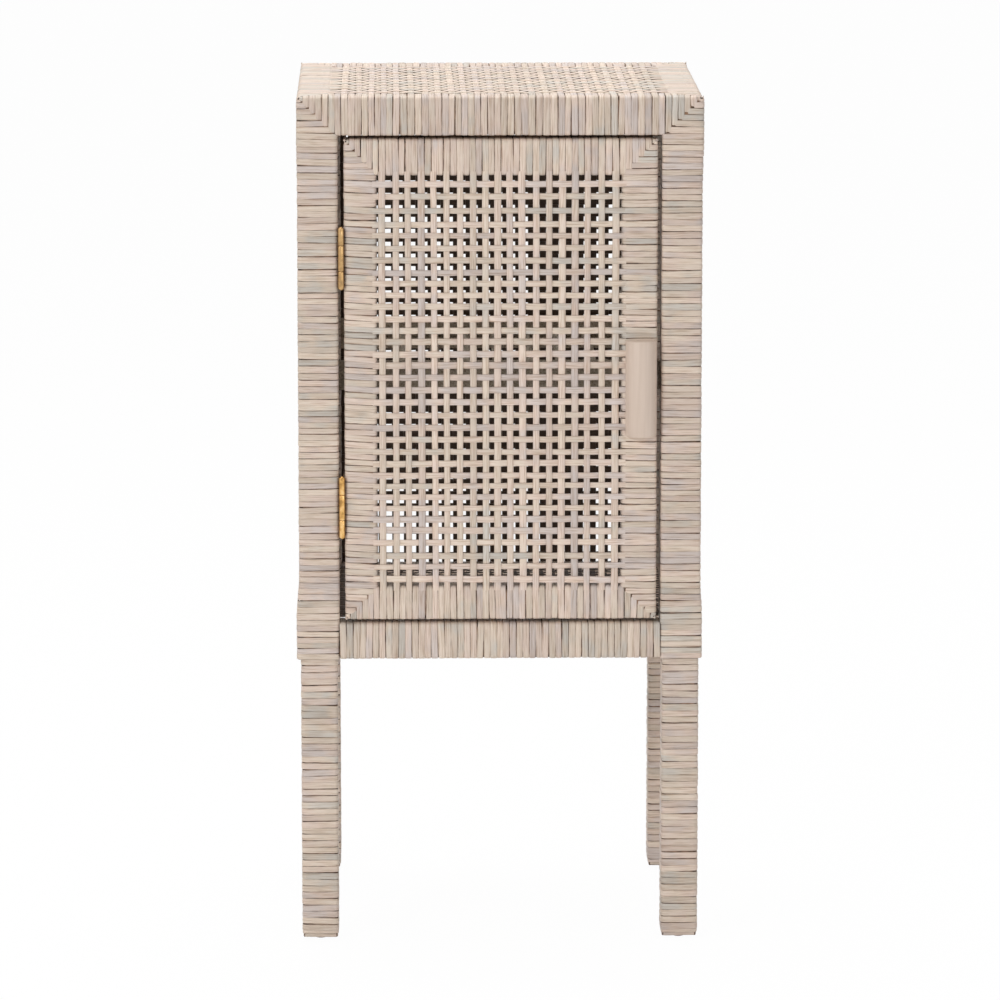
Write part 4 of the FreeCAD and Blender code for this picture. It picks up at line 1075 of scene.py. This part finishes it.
# ------------------------------------------------------------------ screws
# Countersunk wood screws: brass ones hold the hinge leaves to the post and the door, and
# two long steel ones hold the pull from behind. Each head has a cross recess.
SCREW_SPACING = 32 * MM
PULL_SCREW_SPACING = 50 * MM
HEAD_RADIUS, HEAD_HEIGHT = 2.7 * MM, 1.2 * MM
RECESS_LENGTH, RECESS_WIDTH = 3.24 * MM, 0.648 * MM
SHANK_RADIUS, TIP_RADIUS = 1.6 * MM, 0.4 * MM


def nickel_steel(tree):
    """Nickel-plated steel: pale grey metal with a soft gloss, a little brown in its dust."""
    dust = mottled(tree, 2 * MM)
    colour = add_node(tree, "ShaderNodeMix", {
        0: dust, 6: linear("#8d8780"), 7: linear("#c4c0ba")}, data_type="RGBA")
    gloss = add_node(tree, "ShaderNodeMapRange", {0: dust, 1: 0.3, 2: 0.7, 3: 0.45, 4: 0.28})
    return add_node(tree, "ShaderNodeBsdfPrincipled", {
        "Base Color": colour, "Metallic": 1.0, "Roughness": gloss})


STEEL = painted("nickel-plated steel", nickel_steel)


def grow_screw_tree():
    """Geometry nodes: at each place, a countersunk screw whose head looks along Facing."""
    tree, given = begin_tree("countersunk screws at their places", {
        "Places": "Geometry", "Head radius": "Float", "Head height": "Float", "Recess length": "Float",
        "Recess width": "Float", "Shank radius": "Float", "Tip radius": "Float", "Length": "Float",
        "Facing": "Vector", "Material": "Material"})
    cone = add_node(tree, "GeometryNodeMeshCone", {
        "Vertices": 24, "Radius Top": given["Head radius"], "Radius Bottom": given["Shank radius"],
        "Depth": given["Head height"]})
    sunk = add_node(tree, "ShaderNodeMath", {0: given["Head height"], 1: -1.0}, operation="MULTIPLY")
    under_face = add_node(tree, "ShaderNodeCombineXYZ", {2: sunk})
    head = add_node(tree, "GeometryNodeTransform", {"Geometry": cone, "Translation": under_face})
    recessed = add_node(tree, "GeometryNodeMeshBoolean", {"Mesh 1": head}, operation="DIFFERENCE")
    for along, wide in (("Recess length", "Recess width"), ("Recess width", "Recess length")):
        size = add_node(tree, "ShaderNodeCombineXYZ", {
            0: given[along], 1: given[wide], 2: given["Head height"]})
        arm = add_node(tree, "GeometryNodeMeshCube", {"Size": size})
        tree.links.new(arm.outputs[0], recessed.inputs["Mesh 2"])
    shank_length = add_node(tree, "ShaderNodeMath", {
        0: given["Length"], 1: given["Head height"]}, operation="SUBTRACT")
    tip_depth = add_node(tree, "ShaderNodeMath", {0: given["Length"], 1: -1.0}, operation="MULTIPLY")
    tip_place = add_node(tree, "ShaderNodeCombineXYZ", {2: tip_depth})
    shank = add_node(tree, "GeometryNodeMeshCone", {
        "Vertices": 16, "Radius Top": given["Shank radius"], "Radius Bottom": given["Tip radius"],
        "Depth": shank_length})
    lowered = add_node(tree, "GeometryNodeTransform", {"Geometry": shank, "Translation": tip_place})
    screw = add_node(tree, "GeometryNodeJoinGeometry", {0: recessed})
    tree.links.new(lowered.outputs[0], screw.inputs[0])

    points = add_node(tree, "GeometryNodeMeshToPoints", {"Mesh": given["Places"]})
    aim = add_node(tree, "FunctionNodeAlignRotationToVector", {"Vector": given["Facing"]}, axis="Z")
    placed = add_node(tree, "GeometryNodeInstanceOnPoints", {
        "Points": points, "Instance": screw, "Rotation": aim})
    return end_tree(tree, placed, given["Material"])


SCREW_TREE = grow_screw_tree()


def drive_screws(node, places, facing, length, material, body, slot):
    """A set of like screws, their heads' faces at the places given."""
    mesh = bpy.data.meshes.new(f"{node}_places")
    mesh.from_pydata(places, [], [])
    piece = grown(f"{node}_countersunk", SCREW_TREE, mesh, {
        "Head radius": HEAD_RADIUS, "Head height": HEAD_HEIGHT, "Recess length": RECESS_LENGTH,
        "Recess width": RECESS_WIDTH, "Shank radius": SHANK_RADIUS, "Tip radius": TIP_RADIUS,
        "Length": length, "Facing": facing, "Material": material})
    seated(piece, body, slot, node)


def drive_hinge_screws(side, body, way):
    """Two screws through each hinge's leaf on one side, driven across the gap, left or right."""
    node = f"hinge_{side}_screws"
    low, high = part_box(node)
    face_x = high.x if way > 0 else low.x
    centres = [middle_of(f"{place}_hinge_pin").z for place in ("lower", "upper")]
    places = [(face_x, middle_of(node).y, centre + end * SCREW_SPACING / 2)
              for centre in centres for end in (-1, 1)]
    drive_screws(node, places, (way, 0.0, 0.0), high.x - low.x, BRASS, body, "brass")


def drive_pull_screws():
    """Two screws through the lock stile from behind."""
    low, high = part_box("pull_screws")
    middle = middle_of("pull_screws")
    places = [(middle.x, high.y, middle.z + way * PULL_SCREW_SPACING / 2) for way in (-1, 1)]
    drive_screws("pull_screws", places, (0.0, 1.0, 0.0), high.y - low.y, STEEL, "door", "steel")


drive_hinge_screws("frame", "cabinet", 1.0)
drive_hinge_screws("door", "door", -1.0)
drive_pull_screws()

# ------------------------------------------------------------------ pull
# A half-round grip of pale wood with softened ends. It lies flat on the lock stile and is
# screwed to it from behind.
PULL_EASING = 2.4 * MM
PULL_SHOULDER = 1.92 * MM
PULL_SIDES = 28


def washed_beech(tree):
    """Turned beech, sanded and washed pinkish white: smooth, faint grain along its length."""
    colour, lines = grained(tree, "#d3bfaf", "#dac7b8", grain_width=2.6 * MM, grain_length=70 * MM)
    relief = add_node(tree, "ShaderNodeBump", {"Height": lines, "Strength": 0.08, "Distance": 0.2 * MM})
    return add_node(tree, "ShaderNodeBsdfPrincipled", {
        "Base Color": colour, "Roughness": 0.45, "Normal": relief})


def shape_pull():
    """Half of a turned bar, with a flat back and flat end faces."""
    low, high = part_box("door_pull")
    radius = (high.x - low.x) / 2
    easing = [(radius - PULL_SHOULDER * (1 - out), PULL_EASING * rise) for out, rise in quarter_round(5)]
    outline = [(out, low.z + rise) for out, rise in easing]
    outline += [(out, high.z - rise) for out, rise in reversed(easing)]
    front_half = [math.pi + math.pi * side / PULL_SIDES for side in range(PULL_SIDES + 1)]
    shell = bmesh.new()
    rows = add_turned(shell, outline, (low.x + radius, high.y), front_half)
    shell.faces.new(reversed(rows[0]))
    shell.faces.new(rows[-1])
    piece = keep_shell("door_pull_half_round", shell, painted("washed beech", washed_beech))
    seated(piece, "door", "pull", "door_pull")


shape_pull()

# ------------------------------------------------------------------ catch
# A bar magnet pressed into the shelf's front rail meets a thin steel plate on the door's
# back. Both are nickel-plated.
finish(STEEL, "magnetic_catch", "catch_plate")

# ------------------------------------------------------------------ foot glides
# Browned steel domes keep the winding off the floor. Each has a rolled rim and a nail that
# goes up into the leg.
GLIDE_RADIUS = 7.2 * MM
GLIDE_BULGE = 0.86
NAIL_RADIUS = 1.4 * MM
NAIL_POINT = 2 * MM


def browned_steel(tree):
    """Steel domes in a brown lacquer: semi-gloss, scuffed paler underneath."""
    colour = add_node(tree, "ShaderNodeValToRGB", {"Fac": mottled(tree, 1.5 * MM, 4.0)}, stops=[
        (0.3, "#6d5148"), (0.55, "#9a7a6e"), (0.75, "#b89a8c")])
    return add_node(tree, "ShaderNodeBsdfPrincipled", {
        "Base Color": colour, "Metallic": 0.35, "Roughness": 0.42})


def nail_glides():
    """Four domes under the legs, as high as the winding's lowest turn, and their nails."""
    low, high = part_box("foot_glides")
    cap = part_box("front_left_post_binding")[0].z
    outline = [(GLIDE_RADIUS * out, GLIDE_BULGE * cap * rise) for out, rise in quarter_round(8)]
    outline += [(GLIDE_RADIUS, cap), (NAIL_RADIUS, cap), (NAIL_RADIUS, high.z - NAIL_POINT), (0, high.z)]
    shell = bmesh.new()
    for x in (low.x + GLIDE_RADIUS, high.x - GLIDE_RADIUS):
        for y in (low.y + GLIDE_RADIUS, high.y - GLIDE_RADIUS):
            add_turned(shell, outline, (x, y), circle(32))
    piece = keep_shell("foot_glides_domed", shell, painted("browned steel", browned_steel))
    seated(piece, "cabinet", "steel", "foot_glides")


nail_glides()
